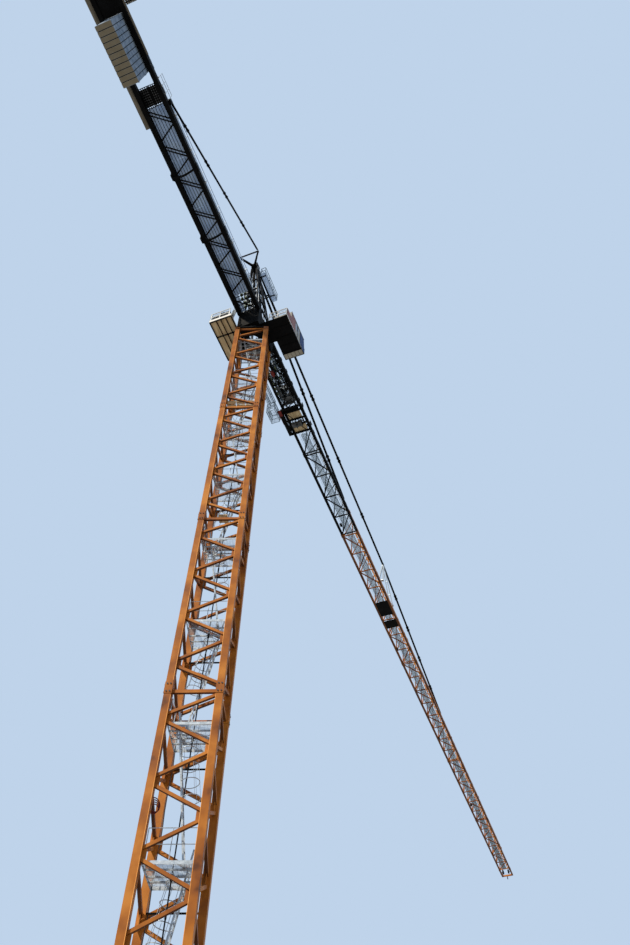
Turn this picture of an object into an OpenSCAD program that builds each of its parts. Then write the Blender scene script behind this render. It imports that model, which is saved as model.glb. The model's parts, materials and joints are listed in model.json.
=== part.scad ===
// Top-slewing tower crane with an A-frame head, drawn as a 1:10 scale model in millimetres.
// The origin is on the ground at the mast's axis, +Z is up and +X runs out along the jib.

/* [Mast] */
// Outer width of the square mast
mast_w = 225; // [190:1:260]
// Height of one mast section
section_h = 1000; // [930:10:1200]
// Side of a mast corner post
chord_w = 28; // [20:1:32]
// Side of a mast bracing tube
brace_w = 11.5; // [8:0.5:15]
// Braces on one face of one section
brace_count = 8; // [6:2:10]
// Height between two braces where they meet at a corner post
node_gap = 22; // [18:1:30]
// Height of the bolted splice on each end of a corner post
splice_h = 26; // [12:1:40]
// How far a splice stands out from its corner post
splice_out = 1.5; // [1:0.5:4]
// Angle of the mast about Z against the jib's direction
mast_turn = 18.7; // [0:0.1:45]

/* [Base] */
// Height of the feet under the first mast section
base_h = 40; // [30:1:60]
// Side of a square foot plate
foot_w = 100; // [84:1:120]
// Thickness of a foot plate
foot_t = 8; // [5:0.5:12]
// Radius of an anchor bolt hole
anchor_r = 2.7; // [1.5:0.1:4]
// Circle on which the four anchor bolts of a foot lie
anchor_pcd = 76; // [66:1:84]
// Width of the beams that cross under the mast
base_beam_w = 26; // [16:1:34]

/* [Mast fittings] */
// Height of a section's lower landing over its foot
landing_low = 355; // [300:5:420]
// Height of a section's upper landing over its foot
landing_high = 860; // [800:5:900]
// Thickness of a landing inside the mast
landing_t = 4; // [3:0.5:6]
// Side of the hatch in a landing
hatch_w = 54; // [48:1:56]
// Width of a ladder
ladder_w = 42; // [34:1:48]
// Height between two rungs
rung_pitch = 30; // [26:1:40]
// Radius of the supply cable down the mast
cable_r = 2.5; // [1.5:0.1:4]

/* [Slewing unit] */
// Outer radius of the slewing ring
ring_r = 98; // [92:1:106]
// Radius of the manhole through the ring
manhole_r = 45; // [40:1:50]
// Height of the fixed ring support on the mast
support_h = 30; // [20:1:40]
// Height of the slewing ring
bearing_h = 20; // [14:1:30]
// Running gap between the fixed and the turning ring
ring_gap = 0.3; // [0.2:0.05:0.6]
// Deck reach in front of the mast's axis
deck_front = 150; // [140:1:200]
// Deck reach behind the mast's axis
deck_back = 115; // [110:1:140]
// Width of the slewing deck
deck_w = 160; // [156:1:180]
// Thickness of the deck plate
deck_t = 10; // [6:1:14]

/* [Jib] */
// Distance from the mast's axis to the jib's first whole bay
jib_start = 246; // [220:1:300]
// Height of the jib's bottom chords over the mast's top
jib_rise = 202; // [180:1:240]
// Length of one jib bay
bay = 468; // [420:1:500]
// Distance between the centres of the bottom chords
jib_w = 136; // [124:1:148]
// Height from the bottom chords to the top chord
jib_h = 293; // [250:1:320]
// Side of a bottom chord
jib_chord_w = 18; // [16:1:22]
// Side of the top chord
jib_top_w = 16; // [12:1:20]
// Side of a jib brace
jib_brace_w = 8; // [5:0.5:9]
// Length of the jib's nose
nose_l = 195; // [150:1:210]

/* [Counter-jib] */
// Height of the counter-jib's underside over the mast's top
counter_rise = 232; // [214:1:250]
// Length of the counter-jib behind the deck
counter_l = 2190; // [2160:10:2300]
// Distance between the outer sides of its girders
counter_w = 170; // [164:1:184]
// Width of a girder
girder_w = 28; // [24:1:32]
// Height of a girder
girder_h = 45; // [36:1:56]
// Width of the braces between the girders
counter_brace_w = 9; // [6:0.5:12]
// Height of the braces between the girders
counter_brace_h = 8; // [5:0.5:12]
// Distance from the mast's axis to the first joint of the counter-jib
counter_joint_x = 709; // [690:1:730]
// Distance between two joints of the counter-jib
counter_pitch = 428.5; // [420:0.5:440]
// Distance from the mast's axis to the near end of the planks
walk_start = 250; // [200:5:300]
// Length of the black winch platform
winch_l = 123; // [110:1:130]
// Length of the counter-jib beyond the last slab
counter_tail = 233.2; // [200:0.1:260]
// Space between the first slab and the platform of the winch
ballast_gap = 64; // [50:1:80]
// Number of ballast slabs
slab_count = 11; // [6:1:12]
// Thickness of a ballast slab
slab_t = 29; // [20:1:31]
// Gap between two slabs
slab_gap = 0.8; // [0.3:0.1:2]
// Height of a ballast slab
slab_h = 345; // [300:1:360]
// Width of a ballast slab
slab_w = 98; // [80:1:110]

/* [Tower head] */
// Height of the head over the mast's top
head_h = 1035; // [900:5:1100]
// How far the head leans back
head_back = 135; // [100:1:180]
// Side of a leg of the head
leg_w = 16; // [10:1:20]
// Half the spread of the yoke's two arms
yoke_half = 78; // [60:1:84]
// How far the yoke reaches back
yoke_back = 130; // [100:1:140]
// Radius of a tie rod
tie_r = 6; // [4:0.5:7]
// Length of a counter-jib tie between two couplings
counter_link_l = 309; // [250:1:400]
// Length of the inner jib tie between two couplings
inner_link_l = 651; // [500:1:800]
// Length of the outer jib tie between two couplings
outer_link_l = 708; // [500:1:800]
// Length of the outer tie between two couplings beyond the king post
far_link_l = 441; // [300:1:700]
// Radius of a sheave in the nose
nose_sheave_r = 27; // [20:1:30]
// Distance from the mast's axis to the lug of the inner tie
inner_x = 1969; // [1940:1:2000]
// Distance from the mast's axis to the lug of the outer tie
outer_x = 5384; // [5350:1:5420]
// Distance from the mast's axis to the king post's foot
king_x = 3071; // [3050:1:3090]
// How far the king post leans out
king_lean = 169; // [150:1:190]
// Height of the king post over the jib
king_h = 377; // [350:1:400]
// Height of the gangways under the head's top
gangway_drop = 145; // [130:1:160]
// Length of the gangways at the head
gangway_l = 250; // [200:1:280]
// Width of the gangways at the head
gangway_w = 40; // [32:1:48]

/* [Cab and service decks] */
// Distance from the deck's side to the cab
cab_gap = 64; // [50:1:80]
// Length of the cab with its balcony
cab_l = 283; // [270:1:320]
// Width of the cab
cab_w = 140; // [120:1:150]
// Height of the cab
cab_h = 220; // [200:1:240]
// How far the cab's front stands out over its floor
cab_front_l = 52; // [30:1:60]
// Thickness of the cab's walls
cab_wall = 4; // [3:0.5:6]
// Length of the open balcony behind the cab
balcony_l = 86; // [60:1:100]
// Distance from the mast's axis to the service deck's rear end
service_back = 214; // [200:1:240]
// Length of the service deck
service_l = 320; // [280:1:340]
// Width of the service deck
service_w = 167; // [150:1:180]
// Height of a handrail
rail_h = 110; // [90:1:120]
// Side of a handrail bar
rail_w = 4; // [3:0.5:5]

/* [Trolley] */
// Distance of the trolley's middle from the mast's axis
trolley_x = 823; // [780:1:1000]
// Length of the trolley
trolley_l = 250; // [240:1:280]
// Radius of a trolley wheel
wheel_r = 10; // [8:0.5:12]
// Width of a trolley wheel
wheel_w = 6; // [4:0.5:6]
// Radius of a rope sheave under the trolley
sheave_r = 15; // [11:1:16]
// Length of the maintenance basket
basket_l = 117; // [100:1:160]
// Width of the maintenance basket
basket_w = 70; // [60:1:80]
// Width of the plate outside the trolley's left cheek
side_plate_w = 20; // [10:1:24]
// Space kept between moving and fixed pieces
run_gap = 5; // [4:0.5:8]

/* [Hidden] */

$fn = 32;
seat = 0.3;
section_count = 5;
mast_top = base_h + section_count * section_h;
brace_p = section_h / brace_count;
chord_c = (mast_w - chord_w) / 2;
well = mast_w - 2 * chord_w;

ring_z = mast_top + support_h;
deck_z = ring_z + ring_gap + bearing_h;
deck_top = deck_z + deck_t;
jib_z = mast_top + jib_rise;
jib_under = jib_z - jib_chord_w / 2;
jib_over = jib_z + jib_chord_w / 2;
jib_top_z = jib_z + jib_h;
jib_y = jib_w / 2;
brace_y = jib_y - jib_chord_w / 2 + jib_brace_w / 2 - 2;
jib_x = jib_start;
jib_bays = [2, 2, 4, 4, 3, 3];
nose_x = jib_x + first_bay(len(jib_bays)) * bay;

girder_z = mast_top + counter_rise;
girder_top = girder_z + girder_h;
girder_y = (counter_w - girder_w) / 2;
counter_x = -deck_back;
counter_end = counter_x - counter_l;
ballast_end = counter_end + counter_tail;
ballast_x = ballast_end + slab_count * (slab_t + slab_gap);
winch_x = -ballast_x - ballast_gap - winch_l;

apex_x = -head_back;
apex_z = mast_top + head_h;
yoke_z = apex_z - 62;
yoke_x = apex_x - yoke_back;

dark = "#1d1e20";
orange = "#d98324";
galvanised = "#b9c1c6";
concrete = "#a3a49b";

function first_bay(i) = i == 0 ? 0 : first_bay(i - 1) + jib_bays[i - 1];
function length3(v) = sqrt(v[0] * v[0] + v[1] * v[1] + v[2] * v[2]);

// A square bar between two points
module bar(a, b, w, t = 0) {
    d = b - a;
    l = length3(d);
    translate(a) rotate([0, acos(d[2] / l), atan2(d[1], d[0])])
        translate([-w / 2, -(t > 0 ? t : w) / 2, 0]) cube([w, t > 0 ? t : w, l]);
}

// A round rod between two points
module rod(a, b, r) {
    d = b - a;
    l = length3(d);
    translate(a) rotate([0, acos(d[2] / l), atan2(d[1], d[0])]) cylinder(r = r, h = l);
}

// A box from its lowest to its highest corner
module block(a, b) {
    translate(a) cube(b - a);
}

base_beam_h = base_h * 0.7;

module turned() {
    rotate([0, 0, mast_turn - 90]) children();
}

// One mast section: four posts, splices, and zigzag braces whose nodes alternate round the posts
module mast_section(i) {
    z0 = base_h + i * section_h;
    z1 = z0 + section_h;
    color(orange) turned() union() {
        for (x = [-1, 1], y = [-1, 1]) {
            translate([x * chord_c - chord_w / 2, y * chord_c - chord_w / 2, z0])
                cube([chord_w, chord_w, section_h]);
            for (z = [z0, z1 - splice_h])
                translate([x * chord_c - chord_w / 2 - splice_out, y * chord_c - chord_w / 2 - splice_out, z])
                    cube([chord_w + 2 * splice_out, chord_w + 2 * splice_out, splice_h]);
        }
        for (f = [0:3]) rotate([0, 0, 90 * f]) {
            bar([-chord_c, -chord_c, z1 - brace_w], [chord_c, -chord_c, z1 - brace_w], brace_w + 3, brace_w);
            for (k = [0:brace_count - 1]) {
                s = (k + f) % 2 == 0 ? 1 : -1;
                za = z1 - k * brace_p - (k == 0 ? node_gap : node_gap / 2);
                zb = z1 - (k + 1) * brace_p + (k == brace_count - 1 ? node_gap : node_gap / 2);
                bar([s * chord_c, -chord_c, za], [-s * chord_c, -chord_c, zb], brace_w);
            }
        }
    }
}

// Four anchored feet, tied by beams that cross under the mast's axis
module base_frame() {
    color(orange) turned() difference() {
        union() {
            for (x = [-1, 1], y = [-1, 1]) translate([x * chord_c, y * chord_c, 0]) {
                translate([-foot_w / 2, -foot_w / 2, 0]) cube([foot_w, foot_w, foot_t]);
                w = chord_w + 2 * splice_out;
                translate([-w / 2, -w / 2, 0]) cube([w, w, base_h]);
            }
            for (a = [45, 135]) rotate([0, 0, a])
                translate([-chord_c * sqrt(2), -base_beam_w / 2, 0])
                    cube([2 * chord_c * sqrt(2), base_beam_w, base_beam_h]);
        }
        for (x = [-1, 1], y = [-1, 1]) translate([x * chord_c, y * chord_c, -1])
            for (a = [0:90:270]) rotate([0, 0, a]) translate([anchor_pcd / 2, 0, 0])
                cylinder(r = anchor_r, h = foot_t + 2);
    }
}

landing_zs = [for (i = [0:section_count - 1], h = [landing_low, landing_high])
    base_h + i * section_h + h];

// Hatches change side and row from landing to landing, so that no ladder stands over one
function hatch_side(i) = i % 2 == 0 ? 1 : -1;
function hatch_x(i) = hatch_side(i) * well / 4;
function hatch_y(i) = hatch_side(i) * (hatch_w / 2 + 10);

module one_landing(i) {
    z = landing_zs[i];
    edge_t = 5;
    difference() {
        union() {
            translate([-well / 2, -well / 2, z]) cube([well, well, landing_t]);
            for (y = [-well / 2 - edge_t, well / 2])
                translate([-well / 2, y, z - 12]) cube([well, edge_t, 12 + landing_t]);
        }
        translate([hatch_x(i) - hatch_w / 2, hatch_y(i) - hatch_w / 2, z - 1])
            cube([hatch_w, hatch_w, landing_t + 2]);
        translate([0, 0, z - 1]) cylinder(r = cable_r + 2, h = landing_t + 2);
    }
}

// Two landings in each section, with hatches left and right by turns
module mast_landings() {
    color(galvanised) turned() for (i = [0:len(landing_zs) - 1]) one_landing(i);
}

// A ladder from one level to another, leaning from x0 to x1 in the plane of y
module one_ladder(x0, x1, y, z0, z1, over) {
    rise = z1 - z0;
    lean = (x1 - x0) / rise;
    stile_y = ladder_w / 2 - 2;
    rungs = floor((rise + over - 16) / rung_pitch);
    for (s = [-1, 1])
        bar([x0, y + s * stile_y, z0 + 3], [x1 + lean * over, y + s * stile_y, z1 + over], 6, 3);
    for (k = [1:rungs])
        translate([x0 + lean * k * rung_pitch - 1.5, y - stile_y, z0 + k * rung_pitch - 1.5])
            cube([3, 2 * stile_y, 3]);
    translate([x0 - 5, y - ladder_w / 2, z0]) cube([10, ladder_w, 6]);
}

// Ladders lean from landing to landing through the hatches, and the last one goes up to the ring
module mast_ladders() {
    last = len(landing_zs) - 1;
    ring_ladder_x = manhole_r - 23;
    color(galvanised) turned() {
        for (i = [0:last])
            one_ladder(-hatch_x(i), hatch_x(i), hatch_y(i),
                i == 0 ? base_beam_h : landing_zs[i - 1] + landing_t, landing_zs[i], 90);
        one_ladder(ring_ladder_x, ring_ladder_x, 0, landing_zs[last] + landing_t, ring_z - 10, 0);
    }
}

// The supply cable hangs down the mast's axis from the slewing ring to the base
module supply_cable() {
    color("#151515") translate([0, 0, base_beam_h]) cylinder(r = cable_r, h = ring_z - base_beam_h);
}

// The collar that takes the ring on the mast's four posts
module ring_support() {
    color(dark) difference() {
        union() {
            turned() translate([-mast_w / 2, -mast_w / 2, mast_top]) cube([mast_w, mast_w, 10]);
            translate([0, 0, mast_top]) cylinder(r = ring_r, h = support_h);
        }
        translate([0, 0, mast_top - 1]) cylinder(r = manhole_r, h = support_h + 2);
    }
}

module slewing_ring() {
    color("#6d6f70") difference() {
        translate([0, 0, ring_z + ring_gap]) cylinder(r = ring_r, h = bearing_h);
        translate([0, 0, ring_z]) cylinder(r = manhole_r, h = bearing_h + 2);
    }
}

// A plated deck with two side beams that take the pins of jib and counter-jib
module slewing_deck() {
    beam_t = 12;
    post_l = 20;
    cross_x = 84;
    color(dark) difference() {
        union() {
            block([-deck_back, -deck_w / 2, deck_z], [deck_front, deck_w / 2, deck_top]);
            for (y = [-deck_w / 2, deck_w / 2 - beam_t])
                block([-deck_back, y, deck_top - 1], [deck_front, y + beam_t, jib_over]);
            for (x = [cross_x, deck_front - beam_t])
                block([x, -deck_w / 2, deck_top - 1], [x + beam_t, deck_w / 2, jib_over]);
            block([-deck_back, -deck_w / 2, deck_top - 1], [-deck_back + beam_t, deck_w / 2, girder_top]);
            for (y = [-deck_w / 2, deck_w / 2 - beam_t])
                block([-deck_back, y, jib_over - 1], [-deck_back + post_l, y + beam_t, girder_top]);
        }
        translate([0, 0, deck_z - 1]) cylinder(r = manhole_r, h = deck_t + 2);
    }
}

// The motors that turn the crane, upright on the deck beside the manhole
module slew_motors() {
    motor_x = 60;
    motor_y = deck_w / 2 - 28;
    color("#3f4346") for (s = [-1, 1]) translate([motor_x, s * motor_y, deck_top]) union() {
        cylinder(r = 13, h = 24);
        translate([0, 0, 24]) cylinder(r = 10, h = 46);
        block([-4, -12, 50], [18, 12, 62]);
    }
}

cab_y = -deck_w / 2 - cab_gap;
cab_x = 198;
cab_z = deck_z;
cab_deck_t = 8;
service_y = deck_w / 2;
frame_h = 9;
bearer_shares = [0.31, 0.51, 0.74];

// The floor under cab and balcony, and the beams under the service deck
module side_frames() {
    x0 = -service_back;
    x1 = x0 + service_l;
    y1 = service_y + service_w;
    color(dark) {
        union() {
            block([cab_x - cab_l, cab_y - cab_w, cab_z], [cab_x, cab_y, cab_z + cab_deck_t]);
            block([cab_x - cab_l, cab_y, cab_z], [80, -deck_w / 2, cab_z + cab_deck_t]);
        }
        union() {
            for (y = [service_y, y1 - 6])
                block([x0, y, cab_z], [x1, y + 6, cab_z + frame_h]);
            for (share = bearer_shares)
                translate([x0, y1 - share * service_w - 2, cab_z]) cube([service_l, 4, frame_h]);
            for (x = [x0, x0 + service_l * 0.38, x1 - 6])
                block([x, service_y, cab_z], [x + 6, y1, cab_z + frame_h]);
        }
    }
}

module cab_side_outline(inset) {
    translate([0, cab_z + cab_deck_t + inset]) polygon([
        [cab_x - cab_l + balcony_l + inset, 0],
        [cab_x - inset, 0],
        [cab_x + cab_front_l - inset, 14],
        [cab_x + cab_front_l - inset, 84],
        [cab_x + cab_front_l - 14 - inset, cab_h - cab_deck_t - 2 * inset],
        [cab_x - cab_l + balcony_l + inset, cab_h - cab_deck_t - 2 * inset]]);
}

module cab_body(inset) {
    translate([0, cab_y - inset, 0]) rotate([90, 0, 0])
        linear_extrude(height = cab_w - 2 * inset) cab_side_outline(inset);
}

module cab_openings() {
    z0 = cab_z + cab_deck_t;
    x0 = cab_x - cab_l + balcony_l;
    post = 10;
    sill = 60;
    rear_sill = 96;
    head = 190;
    front = [cab_x + 6, cab_x + 60];
    outer_y = cab_y - cab_w;
    block([front[0], outer_y + post, z0 + 26], [front[1], cab_y - post, z0 + 76]);
    block([front[0], outer_y + post, z0 + 90], [front[1], cab_y - post, z0 + 196]);
    block([cab_x - 40, outer_y - 5, z0 + sill], [cab_x + 28, cab_y + 5, z0 + head]);
    block([x0 + 26, outer_y - 5, z0 + rear_sill], [cab_x - 56, cab_y + 5, z0 + head]);
    block([x0 - 5, cab_y - cab_w / 2 - 30, z0 + rear_sill], [x0 + 10, cab_y - cab_w / 2 + 30, z0 + head]);
}

// The operator's cab: a thin shell with large windows
module cab_shell() {
    color("#e8e6de") difference() {
        cab_body(0);
        cab_body(cab_wall);
        cab_openings();
    }
}

// Panes that fill the windows from inside the wall's thickness
module cab_glass() {
    color("#27415e") difference() {
        intersection() {
            cab_body(1);
            cab_openings();
        }
        cab_body(cab_wall - 1);
    }
}

// The boards of the service deck inside their rim
module service_deck() {
    x0 = -service_back;
    z = cab_z + frame_h;
    color("#b9a27c") union() {
        block([x0, service_y, z], [x0 + service_l, service_y + service_w, z + 5]);
        for (y = [service_y, service_y + service_w - 4])
            block([x0, y, z], [x0 + service_l, y + 4, z + 14]);
        for (x = [x0, x0 + service_l - 4])
            block([x, service_y, z], [x + 4, service_y + service_w, z + 14]);
    }
}

// The cabinets of the drives, on the service deck
module switch_cabinets() {
    z = cab_z + frame_h + 5;
    x0 = -service_back + 30;
    color("#8d9398") {
        block([x0, service_y + 44, z], [x0 + 110, service_y + 88, z + 120]);
        block([x0 + 140, service_y + 52, z], [x0 + 200, service_y + 88, z + 90]);
    }
}

// A straight run of handrail along X or Y with posts about a metre apart at full size
module rail_run(a, b, h) {
    d = b - a;
    l = length3(d);
    posts = max(1, round(l / 120));
    for (k = [0:posts]) {
        p = a + d * k / posts;
        translate([p[0] - rail_w / 2, p[1] - rail_w / 2, p[2]]) cube([rail_w, rail_w, h]);
    }
    for (z = [h - rail_w / 2, h / 2]) bar(a + [0, 0, z], b + [0, 0, z], rail_w);
}

// Handrails of the service deck, the cab's balcony and the counter-jib, each run on its own posts
module handrails() {
    z = cab_z + frame_h + 14;
    c = rail_w + 1;
    x0 = -service_back + rail_w / 2;
    x1 = x0 + service_l - rail_w;
    y0 = service_y + 20;
    y1 = service_y + service_w - rail_w / 2;
    cz = cab_z + cab_deck_t;
    cx = cab_x - cab_l + rail_w / 2;
    cy = cab_y - cab_w + rail_w / 2;
    wz = girder_top + walk_t;
    wy = counter_w / 2 - rail_w / 2 - 6;
    color(galvanised) {
        rail_run([x0, y0, z], [x0, y1 - c, z], rail_h);
        rail_run([x0, y1, z], [x1, y1, z], rail_h);
        rail_run([x1, y0, z], [x1, y1 - c, z], rail_h);
        rail_run([cx, cy, cz], [cx, cab_y - rail_w, cz], rail_h);
        rail_run([cx + c, cy, cz], [cx + balcony_l - 2 * c, cy, cz], rail_h);
        for (s = [-1, 1]) rail_run([-winch_x, s * wy, wz], [-walk_start - rail_w, s * wy, wz], rail_h);
    }
}

// Four legs from the deck's beams to the head block, with rungs of bracing
module head_frame() {
    front_foot_x = 110;
    back_foot_x = -70;
    half = deck_w / 2 - 6;
    top = [apex_x, 0, apex_z - 40];
    gy = gangway_y + gangway_w;
    share = (gangway_z - jib_over) / (apex_z - 40 - jib_over);
    xg = front_foot_x + (apex_x + 14 - front_foot_x) * share;
    xe = xg + gangway_l * 0.7;
    strut_drop = 180;
    top_y = 14;
    bearer_w = 9;
    color(dark) {
        difference() {
            union() {
                for (s = [-1, 1]) {
                    bar([front_foot_x, s * half, jib_over - 20], top + [14, s * top_y, 0], leg_w);
                    bar([back_foot_x, s * half, jib_over - 20], top + [-14, s * top_y, 0], leg_w);
                }
                block(top + [-26, -24, -30], top + [26, 24, 40]);
                for (t = [0.18, 0.36, 0.54, 0.72]) {
                    z = jib_over + (apex_z - 40 - jib_over) * t;
                    y = half + (top_y - half) * t;
                    xf = front_foot_x + (apex_x + 14 - front_foot_x) * t;
                    xb = back_foot_x + (apex_x - 14 - back_foot_x) * t;
                    bar([xf, -y, z], [xf, y, z], bearer_w);
                    bar([xb, -y, z], [xb, y, z], bearer_w);
                    for (s = [-1, 1]) bar([xb, s * y, z], [xf, s * y, z], bearer_w);
                }
                block([xg - 4, -gy, gangway_z - 9], [xg + 4, gy, gangway_z - 3]);
                block([xe - 4, -gy, gangway_z - 9], [xe + 4, gy, gangway_z - 3]);
                for (s = [-1, 1])
                    bar([xg + 64, s * 36, gangway_z - strut_drop], [xe, s * gangway_y, gangway_z - 8], 7);
            }
            block([-400, -200, jib_over - 60], [400, 200, jib_over]);
        }
        for (s = [-1, 1], x = [front_foot_x, back_foot_x])
            block([x - 16, s * half - 6, jib_over], [x + 16, s * half + 6, jib_over + 8]);
    }
}

// The forked yoke behind the head that spreads the counter-jib's ties
module head_yoke() {
    root = [apex_x - 26 - seat, 0, yoke_z];
    color(dark) union() {
        difference() {
            union() for (s = [-1, 1])
                bar(root + [-2, s * 10, 0], [yoke_x, s * yoke_half, yoke_z], 12);
            block([apex_x - 26 - seat, -40, yoke_z - 20], [apex_x + 40, 40, yoke_z + 20]);
        }
        block([apex_x - 26 - seat - 8, -18, yoke_z - 9], [apex_x - 26 - seat, 18, yoke_z + 9]);
        bar([yoke_x, -yoke_half - 5, yoke_z], [yoke_x, yoke_half + 5, yoke_z], 6);
    }
}

// The climb from the deck to the head, between the four legs
module head_ladder() {
    color(galvanised) one_ladder(-manhole_r - 8, apex_x + 33, 0, deck_top, apex_z - 300, 0);
}

walk_t = 4;

gangway_z = apex_z - gangway_drop;
gangway_y = 40;

// Two galvanised gangways at the head, left and right of the ties
module head_platform() {
    x0 = apex_x + 22;
    color(galvanised) for (s = [-1, 1]) union() {
        y0 = s > 0 ? gangway_y : -gangway_y - gangway_w;
        y1 = y0 + gangway_w;
        block([x0, y0, gangway_z - 3], [x0 + gangway_l, y1, gangway_z]);
        for (y = [y0 + 2, y1 - 2])
            rail_run([x0 + 2, y, gangway_z - 1], [x0 + gangway_l - 2, y, gangway_z - 1], rail_h);
        x1 = x0 + gangway_l - 2;
        rail_run([x1, y0 + 2, gangway_z - 1], [x1, y1 - 2, gangway_z - 1], rail_h);
    }
}

counter_joints = [for (i = [0:2]) -counter_joint_x - i * counter_pitch];

// A flat brace between the girders' inner faces, from xa on the left to xb on the right
module flat_brace(xa, xb, w) {
    y = girder_y - girder_w / 2 + 1;
    translate([0, 0, girder_z + 4]) linear_extrude(height = counter_brace_h)
        polygon([[xa - w / 2, y], [xa + w / 2, y], [xb + w / 2, -y], [xb - w / 2, -y]]);
}

// Two box girders, tied by pairs of slanted bars with a diagonal between them, and two plates
module counter_frame() {
    w = counter_brace_w;
    y = girder_y - girder_w / 2 + 1;
    color(dark) union() {
        for (s = [-1, 1]) {
            block([counter_end, s * girder_y - girder_w / 2, girder_z],
                [counter_x, s * girder_y + girder_w / 2, girder_top]);
            for (x = counter_joints)
                block([x - 16, s * girder_y - girder_w / 2, girder_z - 4],
                    [x + 16, s * girder_y + girder_w / 2, girder_z + 1]);
        }
        for (j = counter_joints, q = [0, counter_pitch / 2]) {
            flat_brace(j + q + 11, j + q + 94, w);
            flat_brace(j + q + 33, j + q + 116, w);
            flat_brace(j + q + 197, j + q + 130, w * 1.2);
        }
        flat_brace(counter_x - 113, counter_x - 19, w);
        block([counter_end, -y, girder_z + 6], [ballast_end - 1, y, girder_z + 14]);
    }
}

module counter_walkway() {
    color(galvanised)
        block([-winch_x, -counter_w / 2, girder_top], [-walk_start, counter_w / 2, girder_top + walk_t]);
}

// The black plate under the winch
module winch_platform() {
    color(dark) block([-winch_x - winch_l, -counter_w / 2, girder_top],
        [-winch_x, counter_w / 2, girder_top + walk_t]);
}

// Drum, gearbox and motor of the hoist on its bed plate
module hoist_winch() {
    x0 = -winch_x - winch_l;
    x1 = -winch_x;
    z = girder_top + walk_t;
    color("#46494c") union() {
        block([x0 + 10, -70, z], [x1 - 10, 70, z + 8]);
        for (y = [-58, 46]) block([x0 + 30, y, z + 7], [x1 - 30, y + 12, z + 60]);
        translate([(x0 + x1) / 2, 0, z + 46]) rotate([90, 0, 0]) cylinder(r = 30, h = 100, center = true);
        block([x0 + 20, 58, z + 7], [x1 - 20, 84, z + 70]);
    }
}

// Hanging concrete slabs with shoulders that rest on the girders
module ballast_slabs() {
    shoulder = girder_y + girder_w / 2 - 4;
    color(concrete) for (i = [0:slab_count - 1]) {
        x = ballast_x - (i + 1) * (slab_t + slab_gap);
        union() {
            block([x, -slab_w / 2, girder_top + 30 - slab_h], [x + slab_t, slab_w / 2, girder_top + 30]);
            block([x, -shoulder, girder_top], [x + slab_t, shoulder, girder_top + 30]);
        }
    }
}

// The boarded walkway outside the left girder, and the narrow one outside the right girder
module side_walkway() {
    z = girder_z + 16;
    x1 = -winch_x + 96;
    y = counter_w / 2;
    strip_start = counter_end + 475;
    color("#9a9384") {
        union() {
            block([counter_end, y, z], [x1, y + 30, z + 4]);
            block([counter_end, y + 26, z], [x1, y + 30, z + 16]);
        }
        union() {
            block([counter_end, -y - 8, z], [strip_start, -y, z + 4]);
            block([counter_end, -y - 8, z], [strip_start, -y - 5, z + 16]);
        }
    }
}

function along(a, b, t) = a + (b - a) * t;

// A rod line from a to b with a double coupling at first, and one more after each link
module tie_line(a, b, first, link_l) {
    l = length3(b - a);
    half_gap = 19;
    half_l = 7;
    union() {
        rod(a, b, tie_r);
        for (at = [first:link_l:l - 60], q = [-1, 1])
            bar(along(a, b, (at + q * half_gap - half_l) / l), along(a, b, (at + q * half_gap + half_l) / l),
                2 * tie_r + 6, 2 * tie_r + 4);
    }
}

// The tie bars from the yoke's tips down to brackets on the girders
module counter_ties() {
    foot_x = -winch_x + 6;
    y = counter_w / 2;
    z = girder_top;
    color(dark) for (s = [-1, 1]) union() {
        tie_line([yoke_x - 3 - seat - tie_r, s * yoke_half, yoke_z], [foot_x, s * (y + 8), z + 8],
            counter_link_l, counter_link_l);
        block([foot_x - 14, s > 0 ? y : -y - 16, z - 24], [foot_x + 14, s > 0 ? y + 16 : -y, z + 12]);
    }
}

// One length of the triangular jib, as bays with two V braces on each side
module jib_section(i) {
    x0 = jib_x + first_bay(i) * bay;
    n = jib_bays[i];
    x1 = x0 + n * bay;
    e = 12;
    q = bay / 4;
    top_y = jib_top_w / 2 - 2;
    root_x = i == 0 ? deck_front : x0;
    color(i < 2 ? dark : orange) union() {
        for (s = [-1, 1]) block([root_x, s * jib_y - jib_chord_w / 2, jib_under],
            [x1, s * jib_y + jib_chord_w / 2, jib_over]);
        if (i == 0) {
            for (s = [-1, 1])
                bar([root_x + 14, s * brace_y, jib_z + 4], [x0 + 20, s * top_y, jib_top_z], jib_brace_w + 3);
            bar([root_x + e, -jib_y, jib_z], [x0 + e / 2, jib_y, jib_z], jib_brace_w);
        }
        block([x0, -jib_top_w / 2, jib_top_z - jib_top_w / 2], [x1, jib_top_w / 2, jib_top_z + jib_top_w / 2]);
        for (k = [0:2 * n - 1]) {
            xa = x0 + k * 2 * q;
            for (s = [-1, 1]) {
                bar([xa + e, s * brace_y, jib_z], [xa + q - 5, s * top_y, jib_top_z], jib_brace_w);
                bar([xa + 2 * q - e, s * brace_y, jib_z], [xa + q + 5, s * top_y, jib_top_z], jib_brace_w);
            }
            bar([xa + e, -jib_y, jib_z], [xa + e, jib_y, jib_z], jib_brace_w);
            side = k % 2 == 0 ? jib_y : -jib_y;
            bar([xa + e, side, jib_z], [xa + 2 * q - e, -side, jib_z], jib_brace_w);
        }
        bar([x1 - e, -jib_y, jib_z], [x1 - e, jib_y, jib_z], jib_brace_w);
    }
}

module jib_nose() {
    color(orange) union() {
        for (s = [-1, 1])
            block([nose_x, s * jib_y - jib_chord_w / 2, jib_under],
                [nose_x + nose_l, s * jib_y + jib_chord_w / 2, jib_over]);
        block([nose_x + nose_l - 14, -jib_y, jib_under], [nose_x + nose_l, jib_y, jib_over]);
        block([nose_x, -jib_top_w / 2, jib_top_z - jib_top_w / 2],
            [nose_x + 12, jib_top_w / 2, jib_top_z + jib_top_w / 2]);
        for (s = [-1, 1])
            bar([nose_x + 8, s * 4, jib_top_z - 6], [nose_x + nose_l - 10, s * (jib_y - 4), jib_z], 8);
    }
}

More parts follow.
